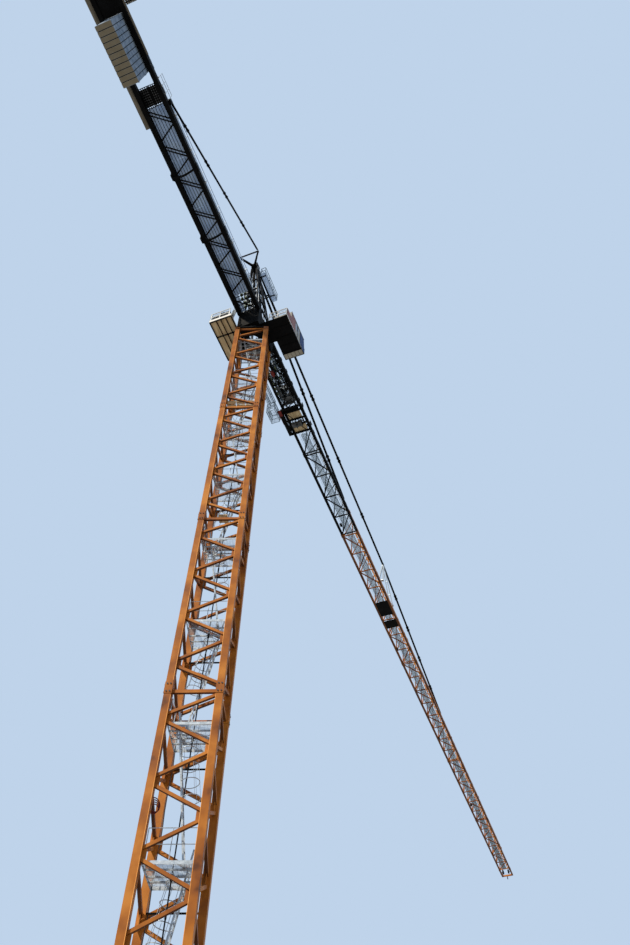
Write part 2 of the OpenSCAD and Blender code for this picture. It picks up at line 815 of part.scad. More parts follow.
// Rope sheaves between the nose's chords, each on a stub axle
module jib_sheaves() {
    sheave_y = 36;
    half_t = 4;
    stub_l = jib_y - jib_chord_w / 2 - sheave_y - half_t;
    color("#3a3c3e") for (s = [-1, 1]) translate([nose_x + nose_l - 115, s * sheave_y, jib_z])
        rotate([s * -90, 0, 0]) {
            cylinder(r = nose_sheave_r, h = 2 * half_t, center = true);
            translate([0, 0, half_t]) cylinder(r = 4, h = stub_l);
        }
}

module jib_walkway() {
    color(galvanised) block([jib_x + 740, -28, jib_z + jib_brace_w / 2],
        [nose_x, 28, jib_z + jib_brace_w / 2 + 3]);
}

// Two closed plates between the bottom chords under the king post
module jib_plates() {
    y = jib_y - jib_chord_w / 2;
    color(dark) for (span = [[-38, 161], [238, 346]])
        block([king_x + span[0], -y, jib_under], [king_x + span[1], y, jib_under + 3]);
}

lug_h = 22;
top_face = jib_top_z + jib_top_w / 2;

module jib_lug(x) {
    block([x - 14, -5, top_face], [x + 14, 5, top_face + lug_h]);
}

king_top = [king_x + king_lean, 0, top_face + king_h];

// The inner tie, and the outer one that runs over the king post
module jib_ties() {
    z = apex_z - 30;
    y = tie_r + 3;
    x = apex_x + 26 + seat;
    color(dark) {
        union() {
            tie_line([x + tie_r, y, z], [inner_x, 0, top_face + 14], inner_link_l - 240, inner_link_l);
            block([x, y - tie_r, z - 8], [x + 14, y + tie_r, z + 8]);
            jib_lug(inner_x);
        }
        union() {
            tie_line([x + tie_r, -y, z + 12], king_top + [0, 0, 12], outer_link_l - 176, outer_link_l);
            tie_line(king_top + [0, 0, 12], [outer_x, 0, top_face + 14], far_link_l, far_link_l);
            block([x, -y - tie_r, z + 4], [x + 14, -y + tie_r, z + 20]);
            jib_lug(outer_x);
            block(king_top + [-16, -9, 2], king_top + [16, 9, 22]);
        }
    }
}

// The post leans out, and a light strut with two rungs holds it from the front
module king_post() {
    strut_x = king_x + 380;
    color(galvanised) difference() {
        union() {
            for (s = [-1, 1]) bar([king_x, s * 26, top_face - 20], king_top + [-4, s * 5, -4], 13);
            for (s = [-1, 1]) bar([strut_x, s * 14, top_face - 20], king_top + [6, s * 6, -4], 6);
            for (t = [0.3, 0.62]) {
                x = strut_x + (king_top[0] + 6 - strut_x) * t;
                z = top_face - 20 + (king_h + 16) * t;
                block([x - 3, -14 + 8 * t, z - 3], [x + 3, 14 - 8 * t, z + 3]);
            }
            block([king_x - 10, -32, top_face], [king_x + 10, 32, top_face + 8]);
            block(king_top + [-14, -10, -12], king_top + [14, 10, 2]);
            block([strut_x - 12, -20, top_face], [strut_x + 12, 20, top_face + 6]);
        }
        block([king_x - 100, -60, top_face - 60], [strut_x + 100, 60, top_face]);
    }
}

module trolley_winch() {
    x0 = jib_x + bay / 2 + 30;
    z = jib_z + jib_brace_w / 2;
    color("#5a5d60") union() {
        for (y = [-40, 30]) block([x0, y, z], [x0 + 200, y + 10, z + 6]);
        for (x = [x0 + 110, x0 + 168]) block([x, -40, z], [x + 12, 40, z + 6]);
        for (y = [-36, 28]) block([x0 + 20, y, z + 5], [x0 + 90, y + 8, z + 60]);
        translate([x0 + 55, 0, z + 44]) rotate([90, 0, 0]) cylinder(r = 24, h = 60, center = true);
        block([x0 + 110, -26, z + 5], [x0 + 180, 26, z + 50]);
    }
}

cheek_y = jib_y + jib_chord_w / 2 + run_gap;
cheek_t = 5;
wheel_y = jib_y + jib_chord_w / 2 - wheel_w / 2;
axle_z = jib_over + wheel_r + seat;
trolley_top = jib_under - run_gap - 3;
beam_h = 14;
wheel_dx = trolley_l / 2 - 36;

sheave_x = trolley_x + 18;
sheave_z = trolley_top - beam_h;
beam_w = 12;
beam_xs = [-trolley_l / 2, -89, -14, 38, trolley_l / 2 - beam_w];

// Cheeks beside the chords, hung from the wheels and joined by cross beams below
module trolley_frame() {
    color(dark) difference() {
        union() {
            for (s = [-1, 1]) {
                for (dx = [-wheel_dx, wheel_dx]) {
                    x = trolley_x + dx;
                    block([x - 14, s > 0 ? cheek_y : -cheek_y - cheek_t, trolley_top - beam_h],
                        [x + 14, s > 0 ? cheek_y + cheek_t : -cheek_y, axle_z + 8]);
                    translate([x, s * (wheel_y + wheel_w / 2 + seat), axle_z]) rotate([-90 * s, 0, 0])
                        cylinder(r = 4, h = cheek_y - wheel_y - wheel_w / 2 + 1);
                }
                block([trolley_x - trolley_l / 2, s > 0 ? cheek_y - 6 : -cheek_y - cheek_t,
                    trolley_top - beam_h], [trolley_x + trolley_l / 2,
                    s > 0 ? cheek_y + cheek_t : -cheek_y + 6, trolley_top]);
                block([trolley_x + beam_xs[2] + 2, s > 0 ? 48 : -54, sheave_z - 8],
                    [trolley_x + beam_xs[3] + 2, s > 0 ? 54 : -48, trolley_top - 1]);
            }
            block([trolley_x - trolley_l / 2, cheek_y + cheek_t - 1, trolley_top - beam_h],
                [trolley_x + trolley_l / 2, basket_y + side_plate_w, trolley_top - 10]);
            for (x = beam_xs)
                block([trolley_x + x, -cheek_y, trolley_top - beam_h],
                    [trolley_x + x + beam_w, cheek_y, trolley_top]);
            block([trolley_x - trolley_l / 2, -jib_y + 16, trolley_top - 1],
                [trolley_x - 82, jib_y - 16, trolley_top + 3]);
        }
        translate([sheave_x, 0, sheave_z]) rotate([90, 0, 0])
            cylinder(r = axle_r + seat, h = 2 * jib_y, center = true);
    }
}

axle_r = 4;
sheave_ys = [-34, -14, 14, 34];

// Four running wheels, and four rope sheaves on one axle
module trolley_wheels() {
    color("#8d9092") {
        for (s = [-1, 1], dx = [-wheel_dx, wheel_dx])
            translate([trolley_x + dx, s * wheel_y, axle_z]) rotate([90, 0, 0])
                cylinder(r = wheel_r, h = wheel_w, center = true);
        translate([sheave_x, 0, sheave_z]) rotate([90, 0, 0]) union() {
            cylinder(r = axle_r, h = 108, center = true);
            for (y = sheave_ys) translate([0, 0, y]) cylinder(r = sheave_r, h = 8, center = true);
        }
    }
}

// Boards on the trolley's cross beams
module trolley_panels() {
    y = jib_y - 16;
    color("#b9a27c") for (x = [[-80, -10], [47, trolley_l / 2 - 9]])
        block([trolley_x + x[0], -y, trolley_top], [trolley_x + x[1], y, trolley_top + 3]);
}

basket_y = cheek_y + cheek_t;

// The maintenance basket that hangs from the trolley's left cheek
module trolley_basket() {
    x0 = trolley_x - trolley_l / 2 - 36;
    y0 = basket_y + 32;
    z0 = trolley_top - beam_h - 20;
    r = rail_w / 2;
    color(galvanised) union() {
        block([x0, y0, z0], [x0 + basket_l, y0 + basket_w, z0 + 4]);
        for (y = [y0 + r, y0 + basket_w - r])
            rail_run([x0 + r, y, z0 + 3], [x0 + basket_l - r, y, z0 + 3], rail_h);
        for (x = [x0 + r, x0 + basket_l - r])
            rail_run([x, y0 + r, z0 + 3], [x, y0 + basket_w - r, z0 + 3], rail_h);
        for (x = [x0 + 44, x0 + basket_l - 16]) {
            block([x, basket_y, trolley_top - 10], [x + 8, y0 + 1, trolley_top - 2]);
            block([x, y0 - 7, z0], [x + 8, y0 + 1, trolley_top - 2]);
        }
    }
}

// The hook block on its rope falls, drawn up under the trolley's sheaves
module hook_block() {
    z = sheave_z - sheave_r - 8;
    rope_r = 1.5;
    color("#3a3c3e") union() {
        block([sheave_x - 20, -40, z - 22], [sheave_x + 20, 40, z]);
        for (y = sheave_ys, s = [-1, 1])
            rod([sheave_x + s * (sheave_r + rope_r + seat), y, z - 2],
                [sheave_x + s * (sheave_r + rope_r + seat), y, sheave_z], rope_r);
        translate([sheave_x, 0, z - 32]) cylinder(r = 7, h = 12);
        translate([sheave_x, 0, z - 44]) rotate([90, 0, 0]) rotate_extrude(angle = 270)
            translate([12, 0]) circle(r = 4);
    }
}

base_frame();
mast_section(0);  // mast_section_1
mast_section(1);  // mast_section_2
mast_section(2);  // mast_section_3
mast_section(3);  // mast_section_4
mast_section(4);  // mast_section_5
mast_landings();
mast_ladders();
supply_cable();
ring_support();
slewing_ring();
slewing_deck();
slew_motors();
side_frames();
cab_shell();
cab_glass();
service_deck();
switch_cabinets();
handrails();
head_frame();
head_yoke();
head_ladder();
head_platform();
counter_frame();
counter_walkway();
winch_platform();
hoist_winch();
ballast_slabs();
side_walkway();
counter_ties();
jib_section(0);  // jib_section_1
jib_section(1);  // jib_section_2
jib_section(2);  // jib_section_3
jib_section(3);  // jib_section_4
jib_section(4);  // jib_section_5
jib_section(5);  // jib_section_6
jib_nose();
jib_sheaves();
jib_walkway();
jib_plates();
jib_ties();
king_post();
trolley_winch();
trolley_frame();
trolley_wheels();
trolley_panels();
trolley_basket();
hook_block();
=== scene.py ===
# %% [markdown]
# # Tower crane, 1:10 scale model
#
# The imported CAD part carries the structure: mast, slewing unit, both jibs, head, ties and trolley.
# This script dresses it. It gives every node a paint or metal of its own, swaps the plain plates for
# gratings, and adds what is too fine for the CAD source: ropes, bolts, hoops, sheaves and panels.
# Everything is in metres in the part's own frame: the origin on the ground at the mast's axis,
# +Z up and +X out along the jib.

import json
import math
from itertools import product

import bpy
import numpy as np
from mathutils import Matrix, Vector


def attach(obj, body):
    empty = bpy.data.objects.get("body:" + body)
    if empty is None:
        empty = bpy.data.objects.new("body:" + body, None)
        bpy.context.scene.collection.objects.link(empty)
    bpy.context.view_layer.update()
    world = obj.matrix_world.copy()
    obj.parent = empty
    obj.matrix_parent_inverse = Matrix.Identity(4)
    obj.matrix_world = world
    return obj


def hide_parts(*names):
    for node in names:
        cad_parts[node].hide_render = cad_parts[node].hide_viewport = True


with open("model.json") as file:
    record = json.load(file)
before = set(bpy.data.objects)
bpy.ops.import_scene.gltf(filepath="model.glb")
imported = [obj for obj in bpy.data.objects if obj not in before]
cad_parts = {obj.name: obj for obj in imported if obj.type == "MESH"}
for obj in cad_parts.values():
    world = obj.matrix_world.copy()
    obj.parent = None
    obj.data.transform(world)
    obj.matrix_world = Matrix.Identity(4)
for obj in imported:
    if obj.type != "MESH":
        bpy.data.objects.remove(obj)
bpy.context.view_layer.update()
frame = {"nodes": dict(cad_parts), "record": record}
nodes = frame["nodes"]
MM = 0.001

# %% [markdown]
# ## Colours and shader nodes
#
# Colours are written as sRGB hex values, the way paint charts give them, and turned linear by one
# function. One small function adds a shader node with its settings and links, so that each
# material below reads as a short list.


# %% Colour and shader helpers
def linear(hex_colour):
    """sRGB hex to linear RGBA: c/12.92 below 0.04045, else ((c+0.055)/1.055)^2.4."""
    c = np.array([int(hex_colour[i : i + 2], 16) for i in (1, 3, 5)]) / 255
    c = np.where(c <= 0.04045, c / 12.92, ((c + 0.055) / 1.055) ** 2.4)
    return (*c, 1.0)


def add(tree, kind, links=None, **settings):
    """Adds one node. links maps an input's name to (node, output); settings sets inputs or properties."""
    n = tree.nodes.new("ShaderNode" + kind)
    for key, value in settings.items():
        name = key.replace("_", " ")
        if name in n.inputs:
            n.inputs[name].default_value = value
        else:
            setattr(n, key, value)
    for name, (other, output) in (links or {}).items():
        tree.links.new(other.outputs[output], n.inputs[name])
    return n


def ramp(tree, source, output, stops):
    """A colour ramp over (position, hex) stops, driven by source's output."""
    n = add(tree, "ValToRGB", {"Fac": (source, output)})
    while len(n.color_ramp.elements) < len(stops):
        n.color_ramp.elements.new(0.5)
    for e, (position, colour) in zip(n.color_ramp.elements, stops):
        e.position = position
        e.color = linear(colour)
    return n


def levels(tree, source, output, low, high):
    """Maps a noise between 0.3 and 0.7 to the values from low to high."""
    return add(tree, "MapRange", {"Value": (source, output)},
               From_Min=0.3, From_Max=0.7, To_Min=low, To_Max=high)


def material(name, stops, patch_mm, rough, metallic=0.0, grain_mm=0.8, bump=0.02, stretch=(1, 1, 1), shine=0.5,
             painted_underside=None):
    """A weathered surface: tone from patch noise, roughness from a second noise, height from grain.
    The last argument is a (hex, share) of painted underside light: a colour mixed into faces that look down, dark for
    painted shade and warm for painted light bounced from the ground."""
    m = bpy.data.materials.new(name)
    m.use_nodes = True
    t = m.node_tree
    shader = t.nodes["Principled BSDF"]
    place = add(t, "TexCoord")
    spread = add(t, "Mapping", {"Vector": (place, "Object")})
    spread.inputs["Scale"].default_value = stretch
    patch = add(t, "TexNoise", {"Vector": (spread, "Vector")}, Scale=1 / (patch_mm * MM), Detail=3.0)
    tone = ramp(t, patch, "Fac", stops)
    colour = tone
    if painted_underside:
        # Painted light on undersides: faces that look down are mixed towards the given colour.
        face = add(t, "NewGeometry")
        up = add(t, "SeparateXYZ", {"Vector": (face, "True Normal")})
        under = add(t, "MapRange", {"Value": (up, "Z")}, From_Min=-0.35, From_Max=-0.9, To_Min=0.0, To_Max=painted_underside[1])
        colour = add(t, "MixRGB", {"Fac": (under, "Result"), "Color1": (tone, "Color")}, Color2=linear(painted_underside[0]))
    t.links.new(colour.outputs["Color"], shader.inputs["Base Color"])
    rub = add(t, "TexNoise", {"Vector": (place, "Object")}, Scale=1 / (0.3 * patch_mm * MM), Detail=3.0)
    gloss = levels(t, rub, "Fac", rough[0], rough[1])
    t.links.new(gloss.outputs["Result"], shader.inputs["Roughness"])
    grain = add(t, "TexNoise", {"Vector": (place, "Object")}, Scale=1 / (grain_mm * MM), Detail=2.0)
    height = add(t, "Bump", {"Height": (grain, "Fac")}, Strength=bump, Distance=0.001)
    t.links.new(height.outputs["Normal"], shader.inputs["Normal"])
    shader.inputs["Metallic"].default_value = metallic
    shader.inputs["Specular IOR Level"].default_value = shine
    return m


# %% [markdown]
# ## Materials
#
# The mast and the outer jib are brushed with ochre-orange enamel that has faded in patches of a few
# decimetres at full size. The slewing unit, head and counter-jib carry a near-black satin enamel
# with a little dust. Ladders, rails and gratings are hot-dip galvanised, with the blotches that
# zinc shows. Slabs are cast concrete with pale stains, and the decks are weathered plywood. Plain
# colours would be quicker, but large flat colours look like plastic, so each finish has its noise.

# %% Make the materials
# Faded enamel: warm and patchy, with painted shade on the undersides: a dark brown mixed into faces that look down,
# in place of the dim light under the steel.
orange = material("orange_paint", [(0.28, "#5f3313"), (0.36, "#8f5018"), (0.52, "#ad661c"), (0.68, "#c9802f")],
                  110, (0.5, 0.65), bump=0.03, shine=0.25, painted_underside=("#241009", 0.8))
# Painted highlight: an orange light enough to stand for sunlit faces, drawn as thin lines beside the darker posts and
# chords.
amber = material("painted_highlight_orange", [(0.3, "#e8943c"), (0.7, "#ffb868")], 60, (0.5, 0.65), shine=0.25)
# Satin black: a silhouette against the sky, with only a breath of light on its edges.
black = material("dark_paint", [(0.3, "#040506"), (0.55, "#07080a"), (0.75, "#0d0f11")], 60, (0.65, 0.8),
                 bump=0.03, shine=0.08)
# Fresh zinc: pale, with blotches and soft glints. The two duller ones are for mesh and for planks: the mesh zinc is
# darkened as painted shade, and the planks' zinc is tinted blue as painted sky light.
zinc = material("galvanised_steel", [(0.3, "#9fa8ae"), (0.5, "#b4bdc3"), (0.7, "#c8d0d5")], 14, (0.3, 0.5),
                metallic=0.5)
# Painted shade: the mesh zinc is dull, and darkened to the blue-grey of zinc seen in shade.
mesh_zinc = material("dull_shaded_zinc", [(0.3, "#526474"), (0.7, "#728798")], 14, (0.5, 0.7), metallic=0.3, shine=0.3)
# Painted sky light: the planks' zinc is tinted a pale blue, for faces seen in shade under the sky.
planks_zinc = material("sky_tinted_zinc", [(0.3, "#9bbcec"), (0.5, "#aac9f4"), (0.7, "#bad6fa")], 90, (0.5, 0.7),
                       shine=0.3)
# Enamels of boxes and small things: flat even tones that stand out as specks of colour.
grey_paint = material("cabinet_paint", [(0.3, "#83888c"), (0.7, "#969ba0")], 60, (0.4, 0.55))
red_paint = material("red_paint", [(0.3, "#540f0a"), (0.7, "#741712")], 20, (0.4, 0.55), shine=0.3)
olive_paint = material("olive_paint", [(0.3, "#4c5a44"), (0.7, "#67755a")], 12, (0.5, 0.65), shine=0.2)
brown_paint = material("brown_paint", [(0.3, "#7a3f33"), (0.7, "#8f5144")], 60, (0.4, 0.55), shine=0.3)
# Oiled steel reads dark, and steel that a rope polishes reads bright.
steel = material("machine_steel", [(0.3, "#303336"), (0.55, "#464a4e"), (0.75, "#5d6166")], 20, (0.3, 0.5),
                 metallic=0.6)
bright = material("bright_steel", [(0.3, "#a9adb0"), (0.7, "#d5d8da")], 8, (0.18, 0.32), metallic=0.9)
# The cab's smooth coats, with a faint gloss that shows where a panel turns.
cream = material("cab_paint", [(0.3, "#8b887c"), (0.7, "#9f9c8e")], 70, (0.35, 0.5), shine=0.3)
white_paint = material("white_paint", [(0.3, "#dcdcd6"), (0.7, "#ecebe6")], 70, (0.35, 0.5), shine=0.3)
# Cast concrete: dry and grainy. Its grey is tinted blue as painted sky light on its shaded sides, and the yellowish
# colour where it looks down at the ground is painted light bounced up from the ground.
concrete = material("cast_concrete", [(0.3, "#6c7d8c"), (0.5, "#8293a3"), (0.7, "#94a4b2")], 40, (0.75, 0.9),
                    grain_mm=1.5, bump=0.2, shine=0.15, painted_underside=("#74694f", 0.85))
# Boards: the noise is stretched along X, so that the eye reads the run of the grain.
timber = material("deck_timber", [(0.3, "#a08c68"), (0.5, "#b9a682"), (0.7, "#cbba96")], 14, (0.6, 0.8),
                  grain_mm=0.6, bump=0.12, stretch=(0.15, 1, 1), shine=0.3)
grey_boards = material("weathered_boards", [(0.3, "#56534a"), (0.5, "#6b675d"), (0.7, "#7d796e")], 18, (0.7, 0.85),
                       grain_mm=0.6, bump=0.12, stretch=(0.15, 1, 1), shine=0.2)
# Glass is blue and darker than the sky: one sort dull from dust, the other with a clear gloss.
dark_glass = material("tinted_glass", [(0.3, "#16376a"), (0.7, "#1f4880")], 90, (0.4, 0.5), bump=0.0, shine=0.05)
glass = material("window_glass", [(0.3, "#0e1c30"), (0.7, "#1a3050")], 60, (0.05, 0.12), bump=0.0, shine=0.35)
glass.node_tree.nodes["Principled BSDF"].inputs["IOR"].default_value = 1.52
# Rubber takes almost no light, and wire rope a dark glint from its lay.
rubber = material("cable_rubber", [(0.3, "#0c0c0d"), (0.7, "#19191b")], 10, (0.5, 0.7), shine=0.3)
rope = material("wire_rope", [(0.3, "#242527"), (0.7, "#3d3f42")], 3, (0.35, 0.5), metallic=0.7)

print("materials:", len(bpy.data.materials))

# %% [markdown]
# ## Which finish goes into which slot
#
# The record names ten material slots. The first finish of each is the one that its imported nodes
# wear, and the others are variants of it, for new pieces.

# %% Slots
FINISHES = {"orange_paint": [orange, amber], "dark_paint": [black], "cast_concrete": [concrete],
            "galvanised_steel": [zinc, mesh_zinc, planks_zinc, white_paint],
            "machine_steel": [steel, bright, rope, red_paint], "cab_paint": [cream, brown_paint],
            "window_glass": [glass, dark_glass], "deck_timber": [timber, grey_boards],
            "cable_rubber": [rubber], "cabinet_paint": [grey_paint, olive_paint]}
for sub in frame["record"]["subparts"]:
    mesh = nodes[sub["node"]].data
    mesh.materials.clear()
    mesh.materials.append(FINISHES[sub["material_slot"]][0])
nodes["side_walkway"].data.materials[0] = grey_boards

# %% [markdown]
# ## Shape helpers
#
# Most small pieces are boxes, oriented bars or tubes. Each helper works on whole arrays of them at
# once and returns vertices and faces, which `piece` turns into one mesh object that rides on its
# CAD body.


# %% Shape helpers
CORNERS = np.array([[x, y, z] for x in (0, 1) for y in (0, 1) for z in (0, 1)], float)
BOX_FACES = [[0, 1, 3, 2], [4, 6, 7, 5], [0, 4, 5, 1], [2, 3, 7, 6], [0, 2, 6, 4], [1, 5, 7, 3]]


def copies(v, faces):
    """The same quads on each of several sets of points: face k of copy i counts from i times the set's size."""
    f = np.array(faces)[None] + v.shape[1] * np.arange(len(v))[:, None, None]
    return v.reshape(-1, 3), f.reshape(-1, 4)


def boxes(low, high):
    """Boxes from lowest to highest corners: v = low + corner * (high - low)."""
    low, high = np.broadcast_arrays(np.atleast_2d(low).astype(float), np.atleast_2d(high).astype(float))
    return copies(low[:, None] + CORNERS[None] * (high - low)[:, None], BOX_FACES)


def blocks(rows, level=0):
    """Boxes from rows (x0, x1, y0, y1, z0, z1), with z counted from a level."""
    rows = np.atleast_2d(rows).astype(float)
    return boxes(rows[:, ::2] + (0, 0, level), rows[:, 1::2] + (0, 0, level))


def points(x, y, z):
    """Points (x, y, z) from three coordinates, each one value or a row of values."""
    return np.stack(np.broadcast_arrays(*[np.atleast_1d(q).astype(float) for q in (x, y, z)]), 1)


def axes(d):
    """For unit directions d, two unit vectors across them: e1 = z x d (or x), e2 = d x e1."""
    up = np.tile([0.0, 0.0, 1.0], (len(d), 1))
    up[np.abs(d[:, 2]) > 0.999] = (1.0, 0.0, 0.0)
    e1 = np.cross(up, d)
    e1 /= np.linalg.norm(e1, axis=1)[:, None]
    return e1, np.cross(d, e1)


def spans(a, b):
    """For the spans from points a to b: their starts, d = b - a, and the two unit vectors across d."""
    a, b = np.broadcast_arrays(np.atleast_2d(a).astype(float), np.atleast_2d(b).astype(float))
    d = b - a
    return a, d, *axes(d / np.linalg.norm(d, axis=1)[:, None])


def bars(a, b, w, t):
    """Bars from points a to b: v = a + s (b - a) + u w e1 + q t e2, with s in 0..1, u, q = +-1/2."""
    a, d, e1, e2 = spans(a, b)
    u, q, s = (CORNERS[None, :, k, None] for k in range(3))
    v = a[:, None] + s * d[:, None] + (u - 0.5) * w * e1[:, None] + (q - 0.5) * t * e2[:, None]
    return copies(v, BOX_FACES)


def circles(e1, e2, sides):
    """Unit circles across a direction: cos a e1 + sin a e2, at equal steps of a."""
    a = np.linspace(0, 2 * math.pi, sides, endpoint=False)[:, None]
    return np.cos(a) * e1[:, None] + np.sin(a) * e2[:, None]


def skin(rings, sides, closed=False):
    """Quads between one ring of points and the next, and a cap at each end if the rings don't close."""
    i, j = np.meshgrid(np.arange(rings if closed else rings - 1), np.arange(sides), indexing="ij")
    i, j = i.ravel(), j.ravel()
    i2, j2 = (i + 1) % rings, (j + 1) % sides
    f = np.stack([i * sides + j, i * sides + j2, i2 * sides + j2, i2 * sides + j], 1).tolist()
    if not closed:
        f += [list(range(sides))[::-1], list(range((rings - 1) * sides, rings * sides))]
    return f


def tube(path, r, sides=8):
    """A tube along a path, capped at its ends: v = p(s) + r (cos a n(s) + sin a b(s)), a round each ring."""
    p = np.asarray(path, float)
    t = np.gradient(p, axis=0)
    t /= np.linalg.norm(t, axis=1)[:, None]
    return (p[:, None] + r * circles(*axes(t), sides)).reshape(-1, 3), skin(len(p), sides)


def rods(a, b, r, sides=8):
    """Straight round rods between points, with end caps: v = a + s (b - a) + r (cos t e1 + sin t e2)."""
    a, d, e1, e2 = spans(a, b)
    ring = a[:, None] + r * circles(e1, e2, sides)
    v = np.concatenate([ring, ring + d[:, None]], 1)
    faces = [[j + start for j in face] for start in 2 * sides * np.arange(len(a)) for face in skin(2, sides)]
    return v.reshape(-1, 3), faces


def lathe(profile, centre, axis, sides=32):
    """A turned piece: v = c + h axis + r (cos t e1 + sin t e2) over profile points (h, r).
    A profile that starts on the axis is capped there, and one round a bore is closed by the bore's wall."""
    profile = np.asarray(profile, float)
    d = np.array([axis], float) / np.linalg.norm(axis)
    h, r = profile[:, 0, None, None], profile[:, 1, None, None]
    v = np.array(centre) + h * d[0] + r * circles(*axes(d), sides)
    return v.reshape(-1, 3), skin(len(profile), sides, closed=profile[0, 1] > 0.2)


def join(*parts):
    """Several (vertices, faces) as one."""
    vs, fs, start = [], [], 0
    for v, f in parts:
        vs.append(v)
        fs += (f + start).tolist() if isinstance(f, np.ndarray) else [[i + start for i in face] for face in f]
        start += len(v)
    return np.concatenate(vs), fs


def curve(knots, n=14):
    """A smooth path through its knots: p(t) = cubic through four neighbours (Catmull-Rom)."""
    p = np.asarray(knots, float)
    p = np.concatenate([[2 * p[0] - p[1]], p, [2 * p[-1] - p[-2]]])
    t = np.linspace(0, 1, n, endpoint=False)[:, None]
    a, b, c, d = p[:-3, None], p[1:-2, None], p[2:-1, None], p[3:, None]
    q = 0.5 * (2 * b + (c - a) * t + (2 * a - 5 * b + 4 * c - d) * t ** 2 + (3 * b - a - 3 * c + d) * t ** 3)
    return np.concatenate([q.reshape(-1, 3), p[-2:-1]])


def about_z(shape, degrees):
    """The shape turned about the Z axis."""
    v, f = shape
    a = math.radians(degrees)
    c, s = math.cos(a), math.sin(a)
    return np.stack([v[:, 0] * c - v[:, 1] * s, v[:, 0] * s + v[:, 1] * c, v[:, 2]], 1), f


triangles = {}


def piece(name, shape, mat, body="upper_works", smooth=False, stands_for=()):
    """One mesh object from a shape in mm, or from a list of them, on a CAD body."""
    v, f = join(*shape) if isinstance(shape, list) else shape
    mesh = bpy.data.meshes.new(name)
    mesh.from_pydata((np.asarray(v) * MM).tolist(), [], f.tolist() if isinstance(f, np.ndarray) else f)
    mesh.validate()
    mesh.materials.append(mat)
    if smooth:
        mesh.shade_smooth()
    obj = bpy.data.objects.new(name, mesh)
    bpy.context.scene.collection.objects.link(obj)
    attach(obj, body)
    if stands_for:
        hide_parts(*stands_for)
    triangles[name] = sum(len(p.vertices) - 2 for p in mesh.polygons)
    print(f"{name}: {triangles[name]} triangles")
    return obj


# %% [markdown]
# ## Sizes taken from the CAD source
#
# The same named sizes as in the part's source, in millimetres. They could be measured from the
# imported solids, but a name says what a number is for, and a change in the source is copied here once.

# %% Sizes
ALONG, ACROSS, UP = np.eye(3)
MAST_TURN = 18.7 - 90
MAST_W, SECTION_H, SECTIONS, CHORD = 225, 1000, 5, 28
BASE_H, BRACES = 40, 8
MAST_TOP = BASE_H + SECTIONS * SECTION_H
HALF = MAST_W / 2 - CHORD
RING_Z, RING_R = MAST_TOP + 30, 98
DECK_Z = RING_Z + 20.3
DECK_TOP, DECK_HALF = DECK_Z + 10, 80
JIB_Z = MAST_TOP + 202
JIB_Y, BAY, BAYS, JIB_X, JIB_H = 68, 468, 18, 246, 293
JIB_TOP = JIB_Z + JIB_H
NOSE_X = JIB_X + BAYS * BAY
GIRDER_Z = MAST_TOP + 232
GIRDER_H = 45
GIRDER_TOP = GIRDER_Z + GIRDER_H
COUNTER_HALF = 85
WINCH0, WINCH1 = -1680, -1557
DRUM = np.array([(WINCH0 + WINCH1) / 2, 0, GIRDER_TOP + 50])
APEX = np.array([-135.0, 0.0, MAST_TOP + 1035.0])
TROLLEY_X, TROLLEY_L = 823, 250
TROLLEY_TOP = JIB_Z - 17
print("mast top", MAST_TOP, "mm, nose", NOSE_X, "mm from the mast's axis")

# %% [markdown]
# ## Mast landings as gratings
#
# The CAD landing is a plain plate with a hatch. The real one is an open steel grating, bearing bars
# one way and thin cross bars the other, and from below the sky shows through it. A plate with a
# see-through pattern would be quicker, but real bars cast the right shadows and glint at the edges,
# so each landing is built from bars, cut at the hatch and round the supply cable, inside a frame.


# %% Landings
def cut_line(start, end, holes):
    """What is left of the line from start to end once the holes (low, high) are taken out."""
    parts = [(start, end)]
    for low, high in holes:
        parts = [q for a, b in parts for q in ((a, min(b, low)), (max(a, high), b)) if q[1] - q[0] > 0.5]
    return parts


def grating(x0, x1, y0, y1, z, holes=(), pitch=3.8, bar=0.5, height=1.5, cross=10.0):
    """A floor grating: bars at y0 + k pitch along X, thin rods at x0 + k cross along Y, cut at the holes."""
    rows = []
    for y in np.arange(y0 + pitch / 2, y1, pitch):
        for a, b in cut_line(x0, x1, [h[:2] for h in holes if h[2] < y < h[3]]):
            rows.append((a, b, y - bar / 2, y + bar / 2, 0, height))
    for x in np.arange(x0 + cross / 2, x1, cross):
        for a, b in cut_line(y0, y1, [h[2:] for h in holes if h[0] < x < h[1]]):
            rows.append((x - bar / 2, x + bar / 2, a, b, height - 0.8, height))
    return blocks(rows, z)


def rim(x0, x1, y0, y1, z, t, height):
    """Four strips of thickness t that stand inside the edges of a rectangle."""
    rows = [(x0, x1, y0, y0 + t), (x0, x1, y1 - t, y1), (x0, x0 + t, y0 + t, y1 - t), (x1 - t, x1, y0 + t, y1 - t)]
    return blocks([(*row, 0, height) for row in rows], z)


def square(x, y, half):
    """The rectangle (x0, x1, y0, y1) of a square round a point."""
    return x - half, x + half, y - half, y + half


def handrail(feet, height, levels, post_r, rail_r):
    """Round posts on their feet, with rails from post to post at the levels over them."""
    rails = [rods(feet[:-1] + z * UP, feet[1:] + z * UP, rail_r, 6) for z in levels]
    return join(rods(feet, feet + height * UP, post_r, 6), *rails)


def on_mast(shapes):
    """A list of shapes made square to the axes, as one shape that is turned with the mast."""
    return about_z(join(*shapes), MAST_TURN)


LANDINGS = np.array([BASE_H + i * SECTION_H + h for i in range(SECTIONS) for h in (355, 860)], float)


def hatch(i):
    """Middle of the hatch in landing i: sides change by turns."""
    s = 1 if i % 2 == 0 else -1
    return s * HALF / 2, s * 37.0


